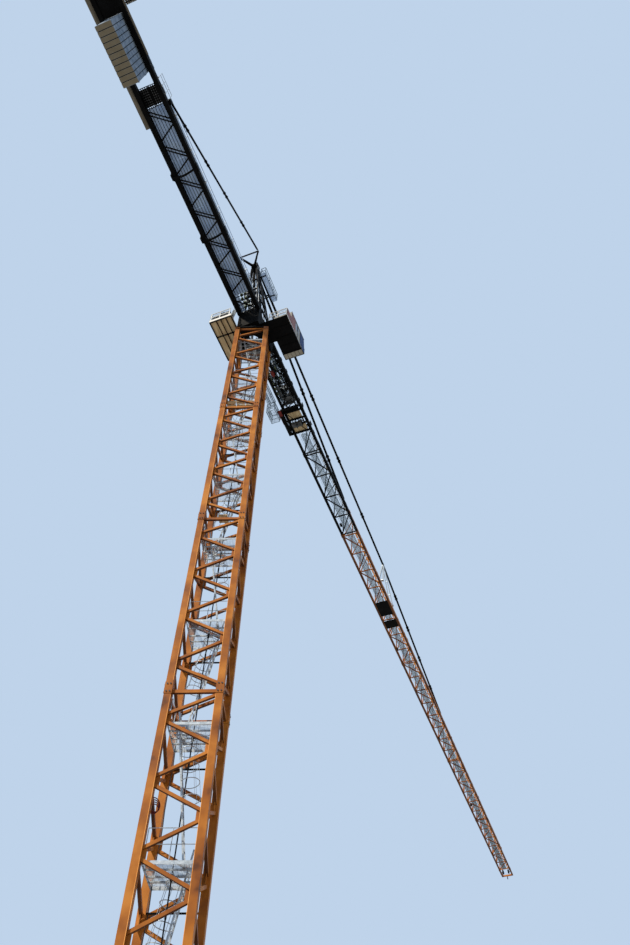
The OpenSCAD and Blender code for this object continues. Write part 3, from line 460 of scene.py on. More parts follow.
floors, rails = [], []
r = HALF - 3
for i, z in enumerate(LANDINGS):
    hx, hy = hatch(i)
    floors += [grating(*square(0, 0, HALF), z, [square(hx, hy, 27), square(0, 0, 5)], pitch=6.2, cross=14),
               rim(-HALF, HALF, -HALF - 5, HALF + 5, z - 8, 1.2, 12), rim(*square(hx, hy, 28), z, 1.0, 6),
               rim(*square(0, 0, 6), z, 0.8, 4),
               blocks([(-HALF, HALF, y - 1, y + 1, -7, 0) for y in (-42, 5.9, 42)], z)]
    posts = points([-r, -r, -r, 0, r, r, r, 0], [-r, 0, r, r, r, 0, -r, -r], z + 3)
    rails.append(handrail(posts[[0, 1, 2, 3, 4] if i % 2 else [4, 5, 6, 7, 0]], 110, (56, 110), 1.5, 1.4))
piece("landing_gratings", on_mast(floors), zinc, "tower", stands_for=("mast_landings",))
piece("landing_rails", on_mast(rails), zinc, "tower")

# %% [markdown]
# ## Hoops round the ladders
#
# Each ladder leans through its hatch inside a cage of hoops, three quarters of a circle 0.7 m across
# at full size, tied by straps. Whole rings would be simpler, but the open side is where a climber
# steps in. A hoop is a thin bar swept along an arc in the ladder's own plane.


# %% Ladder hoops
def arc(centre, e1, e2, radius, a0, a1, n=18):
    """Points c + r (cos a e1 + sin a e2) for a from a0 to a1 in degrees."""
    a = np.radians(np.linspace(a0, a1, n))
    return centre + radius * (np.cos(a)[:, None] * e1 + np.sin(a)[:, None] * e2)


def hoop_cage(rings):
    """Hoops along the rings, tied by five flat straps that run from the first hoop to the last."""
    ties = [bars(rings[0][k], rings[-1][k], 3.4, 0.8) for k in (1, 5, 9, 12, 16)] if len(rings) > 1 else []
    return [tube(ring, 1.5, 5) for ring in rings] + ties


hoops = []
feet = np.concatenate([[28.0], LANDINGS[:-1] + 4])
for i, (z0, z1) in enumerate(zip(feet, LANDINGS)):
    hx, hy = hatch(i)
    d = np.array([2 * hx, 0.0, z1 - z0])
    d /= np.linalg.norm(d)
    side = np.array([-math.copysign(1, hx) * d[2], 0.0, abs(d[0])])
    middle = np.array([-hx, hy, z0]) + side * 28
    hoops += hoop_cage([arc(middle + d * s, side, ACROSS, 35, -140, 140)
                        for s in np.arange(230.0, (z1 - z0) / d[2] - 20, 62.0)])
piece("ladder_hoops", on_mast(hoops), zinc, "tower", smooth=True)

# %% [markdown]
# ## Bolts, gussets, painted edge highlights and small things on the mast
#
# Sections are joined by pairs of big bolts through the corner posts, above and below each joint, and
# the braces end on small gusset plates. A painted highlight runs up the mast along each post's inner
# edge: a thin light strip that stands for the sunlit flange seen edge-on. It could be painted by a
# mask, but a thin strip stays sharp at any distance.
# A second cable runs up one corner on curved arms, clamps hold the supply cable at each landing,
# loose boards lie across the bracing, and a coil of cable hangs in a corner.

# %% Mast details
CC = (MAST_W - CHORD) / 2
FACE, BOLT_HEAD = MAST_W / 2 + 1.5, 2.6
joints_z = BASE_H + SECTION_H * np.arange(SECTIONS + 1)
levels_z = [z + dz for z in joints_z for dz in (-17.0, 17.0) if BASE_H - 1 < z + dz < MAST_TOP]
bolts = []
for z, sx, sy, off in product(levels_z, (-1, 1), (-1, 1), (-6.5, 6.5)):
    bolts.append([(sx * FACE, sy * CC + off, z), (sx * (FACE + BOLT_HEAD), sy * CC + off, z)])
    bolts.append([(sx * CC + off, sy * FACE, z), (sx * CC + off, sy * (FACE + BOLT_HEAD), z)])
bolts = np.array(bolts)
piece("mast_bolts", on_mast([rods(bolts[:, 0], bolts[:, 1], 3.2, 6)]), steel, "tower")

plates = []
for f in range(4):
    rows = []
    for i, k in product(range(SECTIONS), range(1, BRACES)):
        s = -1 if (k + f) % 2 == 0 else 1
        z = BASE_H + (i + 1) * SECTION_H - k * SECTION_H / BRACES
        rows.append((*sorted((-s * HALF, -s * (HALF - 14))), -CC - 1.2, -CC + 1.2, z - 17, z + 17))
    plates.append(about_z(blocks(rows), 90 * f))
piece("mast_gussets", on_mast(plates), orange, "tower")

# Painted highlight: thin light strips on the posts' inner edges stand for their sunlit flanges.
edge = blocks([(x - 0.9, x + 0.9, -MAST_W / 2 - 0.3, -MAST_W / 2 + 1, z + 34, z + SECTION_H - 34)
               for x in (-HALF - 0.9, HALF + 0.9) for z in joints_z[:-1]])
piece("post_edge_highlights", on_mast([about_z(edge, 90 * f) for f in range(4)]), amber, "tower")

heights = np.arange(BASE_H + 120, MAST_TOP - 60, 20.0)
sag = 1.6 * np.sin(2 * math.pi * heights / 250)
arms = [tube(arc((-CC + 14, CC - 18, z), (1, 0, 0.35), (0, -1, 0.2), 12, 0, 150, 9), 1.3, 5)
        for z in np.arange(BASE_H + 250, MAST_TOP, 250.0)]
line = tube(points(-CC + 24 + sag, CC - 30 + 0.6 * sag, heights), 1.5, 6)
piece("mast_line", on_mast([line]), rubber, "tower", smooth=True)
piece("mast_line_arms", on_mast(arms), orange, "tower", smooth=True)

loops = [tube(arc((-CC + 20, -CC + 20, 1590 - 5 * k), (0.72, 0.68, 0.1 * (k - 1)), (0.1, -0.1, 1), 22 - 2 * k,
                  0, 350, 26), 1.7, 6) for k in range(4)]
piece("cable_coil", on_mast(loops), red_paint, "tower", smooth=True)
clamps = []
for z in LANDINGS:
    clamps.append(lathe([(-9, 2.6), (-9, 4.2), (-3, 4.4), (3, 4.4), (9, 4.0), (9, 2.6)], (0, 0, z - 12), UP, 12))
    clamps.append(lathe([(-16, 2.6), (-12, 3.6), (12, 3.6), (16, 2.6)], (0, 0, z - 120), UP, 12))
piece("cable_clamps", clamps, rubber, "tower", smooth=True)

LOW_BOARDS, HIGH_BOARDS = 3091, 4121
boards = [blocks([(-27, 17, -70, -47, 0, 7), (-27, 17, -44, -20, 0, 7)], LOW_BOARDS),
          blocks([(x, x + 50, y, y + 18, 0, 8) for x in (-83, -29, 25) for y in (-83, -58)], HIGH_BOARDS)]
piece("mast_boards", on_mast(boards), timber, "tower")
beams = bars(points(-CC, CC - 8, LANDINGS - 79), points(CC, CC - 8, LANDINGS - 79), 5, 5)
piece("landing_beams", on_mast([beams]), black, "tower")

# %% [markdown]
# ## Jib walkway
#
# The jib's walkway is a grating between light hand lines. The CAD plate gives its outline, and the
# bars that replace it let the sky through, so that it looks grey and not solid from the ground.

# %% Jib walkway
WALK0, WALK1, WALK_Z = JIB_X + 740, NOSE_X, JIB_Z + 4
WALK = (WALK0, WALK1, -28, 28, WALK_Z)
piece("jib_grating", [grating(*WALK, pitch=4.0, bar=0.8, cross=2.6), rim(*WALK, 1.0, 4)], mesh_zinc,
      stands_for=("jib_walkway",))
hand = []
for y in (-27, 27):
    feet = points(np.arange(WALK0 + 20, WALK1, BAY / 2), y, WALK_Z + 3)
    hand.append(rods(feet, feet + 96 * UP, 1.1, 5))
    hand += [rods((WALK0, y, WALK_Z + h), (WALK1, y, WALK_Z + h), 0.9, 5) for h in (50, 96)]
piece("jib_hand_lines", hand, zinc)

# %% [markdown]
# ## Counter-jib planks
#
# The counter-jib's walkway is made of folded planks laid lengthwise. The narrow dark joints between
# them show as stripes from the ground, so each plank is a plate of its own over a black strip: painted
# shade in the joint.

# %% Counter-jib planks
PLANK0, PLANK1 = WINCH1, -250
LENGTH = (PLANK1 - PLANK0) / 4
seams = np.linspace(-COUNTER_HALF, COUNTER_HALF, 10)
planks = [(x, x + LENGTH - 0.8, y0 + 1.5, y1 - 1.5, 2, 3) for y0, y1 in zip(seams[:-1], seams[1:])
          for x in np.arange(PLANK0, PLANK1 - 1, LENGTH)]
shadows = [(PLANK0, PLANK1, max(y - 1.1, -COUNTER_HALF), min(y + 1.1, COUNTER_HALF), 0, 4) for y in seams]
piece("counter_planks", blocks(planks, GIRDER_TOP), planks_zinc, stands_for=("counter_walkway",))
# Painted shade: black strips under the joints between the planks.
piece("plank_joint_shade", blocks(shadows, GIRDER_TOP), black)

# %% [markdown]
# ## Trolley basket, step cage and head gangways
#
# All are small cages: a grating floor, thin round rails and, on the trolley, mesh sides. The CAD
# versions are made of square bars and a plate, so they are shown here as bars and gratings of their
# real thickness. The step cage ahead of the basket moves with the trolley, and two gangways with
# board floors flank the head.


# %% Cages
def cage(x0, x1, y0, y1, z, h, r=2.3, posts=3, mesh_pitch=0):
    """A grating floor with round posts and two rails on all four sides, and if asked a mesh below the rails."""
    parts = [grating(x0, x1, y0, y1, z), rim(x0, x1, y0, y1, z, 1.0, 5)]
    ends, sides = (x0 + r, x1 - r), (y0 + r, y1 - r)
    base = np.array([(x, y, z + 3) for x in np.linspace(*ends, posts) for y in sides])
    parts.append(rods(base, base + (h - 3) * UP, r, 6))
    for level in (z + h * 0.5, z + h):
        parts += [rods((ends[0], y, level), (ends[1], y, level), r, 6) for y in sides]
        parts += [rods((x, sides[0], level), (x, sides[1], level), r, 6) for x in ends]
    if mesh_pitch:
        for y in sides:
            a = points(np.arange(x0 + 4, x1 - 4, mesh_pitch), y, z + 3)
            parts.append(rods(a, a + (h - 4) * UP, 0.6, 4))
            wires = z + np.arange(8, h, mesh_pitch)
            parts.append(rods(points(ends[0], y, wires), points(ends[1], y, wires), 0.6, 4))
    return join(*parts)


BASKET = (662, 779, 119, 189, MAST_TOP + 151)
STEP_CAGE = (478, BASKET[0], 112, 156, BASKET[4] + 22)
arms = blocks([row for x in (706, 763) for row in ((x, x + 6, 87, 120, 175, 181), (x, x + 6, 112, 118, 151, 181))],
              MAST_TOP)
piece("basket_cage", [cage(*BASKET, 110, mesh_pitch=10), cage(*STEP_CAGE, 88, mesh_pitch=12), arms], mesh_zinc,
      "trolley", stands_for=("trolley_basket",))
GANG_X, GANG_Z, GANG_L = APEX[0] + 22, APEX[2] - 145, 250
gang, boards = [], []
for y in (40, -80):
    gang.append(cage(GANG_X, GANG_X + GANG_L, y, y + 40, GANG_Z - 3, 110, r=2.4, posts=4))
    gang.append(blocks([(GANG_X, GANG_X + GANG_L, q, q + 1.6, -4, 12) for q in (y, y + 38.4)], GANG_Z))
    boards += [(GANG_X + 1, GANG_X + GANG_L - 1, q, q + 7.2, -4, -3) for q in y + 1.5 + 9.4 * np.arange(4)]
piece("gangway_boards", blocks(boards, GANG_Z), planks_zinc)
piece("gangway_cages", gang, mesh_zinc, stands_for=("head_platform",))

# %% [markdown]
# ## Head ladder hoops and conduits
#
# The ladder up the head leans forward inside its own hoops. Conduits and hoses climb both sides of
# the head beside it, each a smooth curve with a little sway, because cables tied at every metre
# never run quite straight. The two conduits of each side carry small clamp blocks.

# %% Head ladder hoops and conduits
foot, top = np.array([-102.0, 0, DECK_TOP]), np.array([-51.0, 0, DECK_TOP + 675])
d = (top - foot) / np.linalg.norm(top - foot)
out = np.cross(ACROSS, d)
rings = [arc(foot + d * q + out * 27, out, ACROSS, 34, -135, 135) for q in np.arange(210.0, 668, 57)]
piece("head_hoops", hoop_cage(rings), zinc, smooth=True)
pipes, lines = [], []
t = np.linspace(0.02, 0.96, 12)
for k, (x0, x1) in enumerate(((-84, -150), (96, -112), (-62, -140), (76, -108), (-108, -150), (34, -118))):
    for s in (-1, 1):
        path = points(x0 + (x1 - x0) * t + 4 * np.sin(9 * t + 2 * k), s * (66 - 44 * t) + 3 * np.sin(11 * t + k),
                      JIB_Z - 6 + t * 800)
        if k < 2:
            pipes += [tube(curve(path, 4), 2.6, 7), boxes(path[1::2] - (5, 5, 3), path[1::2] + (5, 5, 3))]
        else:
            lines.append(tube(curve(path, 4), 3.2, 7))
piece("head_conduits", pipes, zinc)
piece("head_hoses", lines, rubber, smooth=True)

# %% [markdown]
# ## Ropes and their sheaves
#
# The hoist rope leaves the drum, runs up to a sheave at the head, down to the jib and along it to
# the trolley and the nose. The trolley's own rope makes a second pair of lines. All are taut, so
# they are straight rods from end to end. Each sheave is turned from one profile with a groove.

# %% Ropes
head_sheave = np.array([-96.0, 0, MAST_TOP + 600])
ropes = []
for y in (-14, 14):
    run = np.array([DRUM + (0, y, 30), head_sheave + (0, 0.3 * y, 17), (JIB_X + 250, y, JIB_Z + 18),
                    (NOSE_X + 80, y * 36 / 14, JIB_Z + 24)])
    ropes.append(rods(run[:-1], run[1:], 1.1, 6))
for y in (-40, 40):
    ropes.append(rods((JIB_X + 330, y, JIB_Z + 12), (NOSE_X - 12, y, JIB_Z + 12), 0.8, 6))
    ropes.append(blocks((NOSE_X - 18, NOSE_X - 6, *sorted((0.95 * y, 1.5 * y)), 8.5, 15), JIB_Z))
piece("ropes", ropes, rope)


def sheave(centre, radius, width):
    """A turned sheave across the part: (h, r) runs hub, web, flange, groove, flange, web, hub."""
    w, r = width / 2, radius
    half = [(0.7 * w, r), (w, r), (w, 0.8 * r), (0.3 * w, 0.72 * r), (0.3 * w, 0.3 * r), (w, 0.28 * r), (w, 0.1)]
    return lathe([(-h, q) for h, q in half[::-1]] + [(0, 0.86 * r)] + half, centre, ACROSS, 36)


def disc(centre, axis, radius, thick, sides=24):
    """A plain round disc that starts at its centre and is thick along its axis."""
    return lathe([(0, 0.1), (0, radius), (thick, radius), (thick, 0.1)], centre, axis, sides)


wheels = [sheave(head_sheave + y * ACROSS, 18, 7) for y in (0, 12, -12)]
axle = rods(head_sheave - 36 * ACROSS, head_sheave + 36 * ACROSS, 4, 10)
piece("head_sheaves", [*wheels, axle], steel)
SHEAVE_X = 841
under = [sheave((SHEAVE_X, y, MAST_TOP + 171), 15.4, 8.2) for y in (-34, -14, 14, 34)]
piece("trolley_rope_sheaves", under, bright, "trolley")

# %% [markdown]
# ## Ballast slabs
#
# Eleven precast slabs hang side by side from shoulders on the girders. A mould leaves a chamfer on
# every edge, and it is the chamfers that draw the dark joints seen from below. Each slab is its
# outline at three depths: pulled in at both faces by the chamfer, full in between.


# %% Slabs
def inset(outline, by):
    """Moves each corner of a counter-clockwise outline inwards by the same distance on both its edges."""
    p = np.asarray(outline, float)
    along_in, along_out = p - np.roll(p, 1, 0), np.roll(p, -1, 0) - p
    n1, n2 = (np.stack([-a[:, 1], a[:, 0]], 1) / np.linalg.norm(a, axis=1)[:, None] for a in (along_in, along_out))
    return p + by * (n1 + n2) / (1 + (n1 * n2).sum(1))[:, None]


def slab(outline, x0, x1, chamfer, axis=0):
    """A plate with chamfered rims: rings at x0, x0+c, x1-c, x1 with the outline pulled in at both ends."""
    full, small = np.asarray(outline, float), inset(outline, chamfer)
    rings = ((x0, small), (x0 + chamfer, full), (x1 - chamfer, full), (x1, small))
    v = np.concatenate([np.insert(ring, axis, x, axis=1) for x, ring in rings])
    faces = skin(len(rings), len(full))
    return v, faces if axis == 0 else [f[::-1] for f in faces]


SLAB_T, SLAB_GAP, SLAB_H, SLAB_HALF, BALLAST_X, SLABS = 29, 0.8, 345, 49, -1744, 11
SHOULDER = COUNTER_HALF - 4
slab_top, slab_foot = GIRDER_TOP + 30, GIRDER_TOP + 30 - SLAB_H
right = [(SLAB_HALF, slab_foot), (SLAB_HALF, GIRDER_TOP), (SHOULDER, GIRDER_TOP), (SHOULDER, slab_top)]
outline = [(-y, z) for y, z in right[::-1]] + right
slab_xs = BALLAST_X - np.arange(1, SLABS + 1) * (SLAB_T + SLAB_GAP)
piece("slabs", [slab(outline, x, x + SLAB_T, 2.6) for x in slab_xs], concrete, stands_for=("ballast_slabs",))
packers = [blocks([(x + SLAB_T - 0.6, x + SLAB_T + SLAB_GAP + 0.6, -SLAB_HALF + 4, SLAB_HALF - 4, slab_foot + 4,
                    GIRDER_TOP) for x in slab_xs[1:]])]
for x in slab_xs[:-1]:
    packers.append(slab(inset(outline, 1.2), x - SLAB_T - SLAB_GAP + 1.6, x + SLAB_T - 1.6, 0.3))
piece("slab_packers", packers, black)
irons = [tube(arc((x, y, slab_top - 1), ACROSS, UP, 7, 0, 180, 9), 1.5, 6)
         for x in slab_xs + SLAB_T / 2 for y in (-30, 30)]
behind, ahead = slab_xs[-1], slab_xs[0] + SLAB_T
for y, z in product((-38, 38), (slab_foot + 40, slab_foot + 250)):
    irons.append(rods((behind - 6, y, z), (ahead + 6, y, z), 1.8, 8))
    irons += [rods((x - 1.5, y, z), (x + 1.5, y, z), 4.5, 6) for x in (behind - 3.5, ahead + 3.5)]
piece("slab_irons", irons, steel)

# %% [markdown]
# ## Perforated platform under the winch
#
# The plate under the winch is punched with rows of round holes, seen against the sky. Each cell of
# a grid is a square with an octagonal hole: two faces of eight quads, the hole's eight walls and eight
# walls round the cell. Real circles would cost several times the faces and look the same.


# %% Perforated plate
def perforated(x0, x1, y0, y1, z0, z1, pitch, radius):
    """A punched plate. Ring a: c + r (cos t, sin t); ring b: the same rays out to the cell's square."""
    nx, ny = int((x1 - x0) // pitch), int((y1 - y0) // pitch)
    cell_size = np.array([(x1 - x0) / nx, (y1 - y0) / ny])
    t = np.radians(np.arange(0, 360, 45.0))
    ray = np.stack([np.cos(t), np.sin(t)], 1)
    edge = ray / np.abs(ray).max(1)[:, None] * cell_size / 2
    gx, gy = np.meshgrid(np.arange(nx) + 0.5, np.arange(ny) + 0.5)
    c = (x0, y0) + cell_size * np.stack([gx.ravel(), gy.ravel()], 1)
    rings = [(radius * ray, z0), (edge, z0), (edge, z1), (radius * ray, z1)]
    v = np.stack([np.concatenate([c[:, None] + r[None], np.full((len(c), 8, 1), z)], 2) for r, z in rings], 1)
    return copies(v.reshape(len(c), -1, 3), skin(len(rings), len(ray), closed=True))


plate = perforated(WINCH0, WINCH1, -COUNTER_HALF, COUNTER_HALF, GIRDER_TOP + 1, GIRDER_TOP + 3, 12.3, 4.2)
frame_bars = blocks([(WINCH0, WINCH1, y, y + 4, 0, 4) for y in (-COUNTER_HALF, -2, COUNTER_HALF - 4)]
                    + [(x, x + 4, -COUNTER_HALF, COUNTER_HALF, 0, 4) for x in (WINCH0, WINCH1 - 4)], GIRDER_TOP)
piece("winch_grille", join(plate, frame_bars), black, stands_for=("winch_platform",))
stand = points([-1698, -1652, -1606, -1566], -COUNTER_HALF - 5, GIRDER_TOP - 10)
guard = [handrail(stand, 122, (67, 122), 1.8, 1.6), boxes(stand - (4, 2, 4), stand + (4, 5, 10))]
piece("winch_rails", guard, zinc)

# %% [markdown]
# ## Hoist winch
#
# The CAD winch is a bed, two plates and a cylinder. Here the drum gets its flanges and the turns of
# rope, which are one helix swept as a tube, and the motor gets its cooling fins and brake.


# %% Winch details
def helix(centre, radius, y0, y1, turns, r, steps=20, sides=5):
    """Rope on a drum: p(t) = c + (R cos 2 pi t, y, R sin 2 pi t) with y running from y0 to y1."""
    t = np.linspace(0, turns, int(turns * steps))
    a = 2 * math.pi * t
    return tube(points(centre[0] + radius * np.cos(a), y0 + (y1 - y0) * t / turns, centre[2] + radius * np.sin(a)),
                r, sides)


piece("hoist_rope_turns", helix(DRUM, 31, -42, 42, 26, 1.4), rope, smooth=True)
winch = [disc(DRUM + y * ACROSS, ACROSS, 39, 3, 40) for y in (-46, 43)]
fins = [(k * 1.6 + d, 21 + 3 * (k % 2)) for k in range(16) for d in (0, 0.9)]
winch.append(lathe([(0, 0.1)] + fins + [(26, 0.1)], DRUM + (0, 57, 2), ACROSS, 24))
winch.append(disc(DRUM + (0, -70, -4), ACROSS, 12, 9))
winch.append(blocks((DRUM[0] - 20, DRUM[0] + 20, -76, -62, 12, 60), GIRDER_TOP))
piece("hoist_details", winch, steel)

# %% [markdown]
# ## Tie bars
#
# The ties are pairs of flat bars that end in forked couplings with round pins. In the CAD source
# each line is one rod. Here each link is two bars side by side and each coupling has its pins.


# %% Ties
def tie(a, b, first, link, gap, width, height, lug):
    """Flat bars at a + s (b - a) +- gap n between couplings at first + k link; n lies across in plan."""
    a, b = np.asarray(a, float), np.asarray(b, float)
    length = np.linalg.norm(b - a)
    d = (b - a) / length
    n = np.cross(UP, d)
    n /= np.linalg.norm(n)
    stops = np.arange(first, length - 60, link)
    ends = np.concatenate([[0], np.ravel([(s - 19, s + 19) for s in stops]), [length]]).reshape(-1, 2)
    parts = [bars(a + d * s0 + n * g, a + d * s1 + n * g, width, height) for s0, s1 in ends for g in (-gap, gap)]
    parts += [bars(a + d * (s - 25), a + d * (s + 25), 0.75 * lug, 12) for s in stops]
    for s, q in product(stops, (-19, 19)):
        c = a + d * (s + q)
        parts.append(bars(c - d * 9, c + d * 9, lug, lug - 2))
        parts.append(rods(c - n * (lug / 2 + 3), c + n * (lug / 2 + 3), 3.5, 10))
    return join(*parts)


YOKE_Z, YOKE_X, YOKE_HALF = APEX[2] - 62, APEX[0] - 130, 78
arms = [bars((YOKE_X + 2, -YOKE_HALF, YOKE_Z), (YOKE_X + 2, YOKE_HALF, YOKE_Z), 9, 9)]
arms += [bars((YOKE_X + 98, s * 5, YOKE_Z), (YOKE_X + 2, s * (YOKE_HALF + 1), YOKE_Z), 13, 15) for s in (-1, 1)]
piece("yoke_arms", arms, black)
TIE_FOOT = -1551
lines = []
for s in (-1, 1):
    foot = (TIE_FOOT, s * (COUNTER_HALF + 8), GIRDER_TOP + 8)
    lines.append(tie((YOKE_X - 9.3, s * YOKE_HALF, YOKE_Z), foot, 309, 309, gap=3, width=5.2, height=9, lug=15))
    y0, y1 = sorted((s * COUNTER_HALF, s * (COUNTER_HALF + 16)))
    lines.append(blocks((TIE_FOOT - 14, TIE_FOOT + 14, y0, y1, -24, 12), GIRDER_TOP))
    lines.append(rods((TIE_FOOT, y0 - 2, GIRDER_TOP + 6), (TIE_FOOT, y1 + 2, GIRDER_TOP + 6), 4, 10))
piece("counter_tie_bars", lines, black, stands_for=("counter_ties",))

TIE_Z, TIE_X, TIE_LUGS = APEX[2] - 30, APEX[0] + 26.3, (1969, 5384)
LUG_Z, PIN_Z = JIB_TOP + 8, JIB_TOP + 22
KING_TOP = np.array([3240.0, 0, LUG_Z + 377])
bar_size = {"gap": 4.4, "width": 8, "height": 12, "lug": 24}
lines = [tie((TIE_X + 6, 9, TIE_Z), (TIE_LUGS[0], 0, PIN_Z), 411, 651, **bar_size),
         tie((TIE_X + 6, -9, TIE_Z + 12), KING_TOP + 12 * UP, 532, 708, **bar_size),
         tie(KING_TOP + 12 * UP, (TIE_LUGS[1], 0, PIN_Z), 441, 441, **bar_size),
         blocks([(TIE_X, TIE_X + 14, 3, 15, -8, 8), (TIE_X, TIE_X + 14, -15, -3, 4, 20)], TIE_Z)]
for x in TIE_LUGS:
    lug = [(x - 14, LUG_Z), (x + 14, LUG_Z), (x + 8, LUG_Z + 22), (x - 8, LUG_Z + 22)]
    lines.append(slab(lug, -5, 5, 1.0, axis=1))
    lines.append(rods((x, -9, PIN_Z), (x, 9, PIN_Z), 3.5, 10))
lines.append(boxes(KING_TOP + (-16, -9, 2), KING_TOP + (16, 9, 22)))
piece("jib_tie_bars", lines, black, stands_for=("jib_ties",))

# %% [markdown]
# ## Rope sheaves and lamp at the nose
#
# The ropes turn round two big sheaves at the jib's tip, side by side in deep grooves. The CAD
# shows each as a plain disc on a stub axle. A turned profile gives them rim, web and hub.

# %% Nose
TIP_X = NOSE_X + 80
tip = [sheave((TIP_X, y, JIB_Z), 27, 8) for y in (-36, 36)]
tip += [disc((TIP_X, y - 1.25, JIB_Z), ACROSS, 25, 2.5, 28) for y in (-43.5, -28.5, 28.5, 43.5)]
tip.append(rods(points(TIP_X, [-59, 27], JIB_Z), points(TIP_X, [-27, 59], JIB_Z), 4, 12))
piece("tip_sheaves", tip, black, stands_for=("jib_sheaves",))
lamp = [lathe([(0, 0.1), (0, 5), (14, 6), (14, 0.1)], (NOSE_X + 186, 4, JIB_Z - 26), UP, 16),
        blocks((NOSE_X + 180, NOSE_X + 192, -2, 10, -14, -8), JIB_Z)]
piece("tip_lamp", lamp, red_paint)
anchor = lathe([(0, 0.1), (0, 4), (8, 6.5), (24, 6.5), (26, 0.1)], (NOSE_X + 187, 4, JIB_Z - 52), UP, 16)
piece("rope_anchor", anchor, steel)

# %% [markdown]
# ## Joints and edge strip of the jib
#
# The jib's sections are pinned together at forked ends, which show as short thick collars on the
# chords. Inside the right chord runs a narrow folded strip in short lengths, cream along the two
# black sections and amber further out, seen from the ground as a thin broken stripe. The amber
# lengths carry a painted highlight, an orange lighter than the paint, for a face in sunlight.

# %% Jib joints
JOINTS = JIB_X + BAY * np.array([2, 4, 8, 12, 15, 18])


def collars(x):
    """Forks on both bottom chords and on the top chord at one joint, with their pins."""
    forks = blocks([(x - 18, x + 18, y - 11, y + 11, -10.5, 10.5) for y in (-JIB_Y, JIB_Y)]
                   + [(x - 18, x + 18, -10.5, 10.5, JIB_H - 10, JIB_H + 10)], JIB_Z)
    a = np.array([(x + d, y, z) for d in (-9, 9) for y, z in ((-JIB_Y, JIB_Z), (JIB_Y, JIB_Z), (0, JIB_TOP))])
    return join(forks, rods(a - 14 * ACROSS, a + 14 * ACROSS, 3.4, 8))


piece("black_joints", collars(JOINTS[0]), black)
piece("orange_joints", [collars(x) for x in JOINTS[1:]], orange)


def strip(x0, x1, y1):
    """A narrow folded strip beside the right chord, in lengths with small gaps between them."""
    rows = [row for x in np.arange(x0, x1 - 20, 78.0)
            for row in ((x, x + 66, -55, y1, -4, -2.6), (x + 20, x + 30, -60, y1 - 2, -2.6, 2))]
    return blocks(rows, JIB_Z)


piece("dotted_strip", strip(1032, JOINTS[1], -51), cream)
# Painted highlight: the amber lengths are a lit orange, for a sunlit face beside the chord.
piece("highlight_strip", strip(JOINTS[1] + 4, NOSE_X, -44), amber)
gussets = np.array([(x - 14, x + 14, y - 4, y + 4, 8, 16) for x in JIB_X + BAY / 2 * np.arange(2 * BAYS + 1)
                    for y in (-63, 63)])
dark = gussets[:, 0] < JOINTS[1] - 20
piece("black_gussets", blocks(gussets[dark], JIB_Z), black)
piece("orange_gussets", blocks(gussets[~dark], JIB_Z), orange)
LAMPS = np.array([(1996, 40, JIB_Z), (3749, 57, JIB_Z), (5377, 54, JIB_Z), (6890, 46, JIB_Z)])
piece("jib_boxes", boxes(LAMPS - (16, 9, 8), LAMPS + (16, 9, 8)), black)

# %% [markdown]
# ## Jib root
#
# Where the jib meets the deck it is packed with small things: cable trays, hoses to the trolley
# winch, rungs, rows of fuse boxes and junction boxes, and brackets on short posts beside the right
# chord. Seen from below they read as a dense tangle. Hoses could be straight rods, but the eye
# knows a hose by its sag, so they are smooth curves through a few points, swept as tubes.


# %% Hoses and trays
ROOT = np.array([0, 0, JIB_Z + 12])
hose_paths = [
    [(152, -40, 30), (230, -44, 6), (330, -30, 2), (470, -38, 14), (520, -24, 8)],
    [(152, -20, 40), (240, -30, -4), (360, -10, 12), (500, -22, 0), (640, -30, 10)],
    [(152, 8, 36), (220, -8, 4), (310, 12, -6), (400, 2, 10), (515, 18, 4)],
    [(152, 46, 24), (260, 52, 0), (380, 44, 8), (560, 52, -2), (690, 48, 6)],
    [(152, 36, 60), (300, 20, 90), (420, 30, 40), (540, 22, 60)],
    [(200, -50, 70), (300, -40, 110), (430, -30, 70), (560, -38, 30)]]
hoses = [tube(curve(ROOT + path), 2.4 + 0.5 * (i % 3), 8) for i, path in enumerate(hose_paths)]
k = np.arange(9)
for y in (40, 50, -50):
    path = points(np.linspace(156, 690, 9), y + 5 * np.sin(2.1 * k + y), JIB_Z + 15 + 6 * np.cos(k + y))
    hoses.append(tube(curve(path), 4.2, 8))
piece("root_hoses", hoses, rubber, smooth=True)
trays = []
for area, pitch, cross, t, height in (((560, 694, -58, 58, JIB_Z + 10), 6, 9, 2, 5),
                                      ((152, 700, 26, 50, JIB_Z + 6), 5, 8, 1, 8),
                                      ((160, 500, -34, 4, JIB_Z + 8), 4, 6, 1, 5)):
    trays += [grating(*area, pitch=pitch, cross=cross), rim(*area, t, height)]
piece("root_trays", trays, mesh_zinc)
rungs = points(np.arange(262, 700, 29.0), -59, JIB_Z - 4)
irons = [bars(rungs[::2], rungs[::2] + (0, 118, 0), 4, 5),
         bars(rungs[1::3] + (0, 0, 14), rungs[1::3] + (40, 112, 14), 4, 4)]
rows = [(340, 392, -20, 14, 18, 44), (600, 640, -50, -20, 20, 44)]
for x in (319, 427, 541, 697):
    rows += [(x - 13, x + 13, -75, -58, 34, 52), (x - 6, x + 6, -66, -60, 8, 35)]
cuts = np.arange(156.0, 620, 44.0)
for y0, y1, z in ((-57, -36, 4), (6, 24, 6)):
    rows += [(x, x + 36, y0, y1, z, z + 1.5) for x in cuts]
    rows += [(152, 640, y0, y0 + 2, z, z + 10), (152, 640, y1 - 2, y1, z, z + 10)]
piece("root_ironwork", [*irons, blocks(rows, JIB_Z)], black)
fuses = np.concatenate([points(cuts[:-1] + 6, 51, JIB_Z + 4), points(cuts[1:8:2] - 30, -14, JIB_Z + 4)])
piece("root_fuse_boxes", boxes(fuses, fuses + (26, 9, 9)), olive_paint)
junctions = JIB_Z * UP + [(286, 20, 20), (448, 30, 16), (560, -50, 14), (230, -24, 22), (604, 34, 18), (642, 4, 20),
                          (668, -38, 18), (520, 14, 12)]
piece("junction_boxes", boxes(junctions - (13, 9, 6), junctions + (13, 9, 6)), grey_paint)
bundle, pale, clips = [], [], []
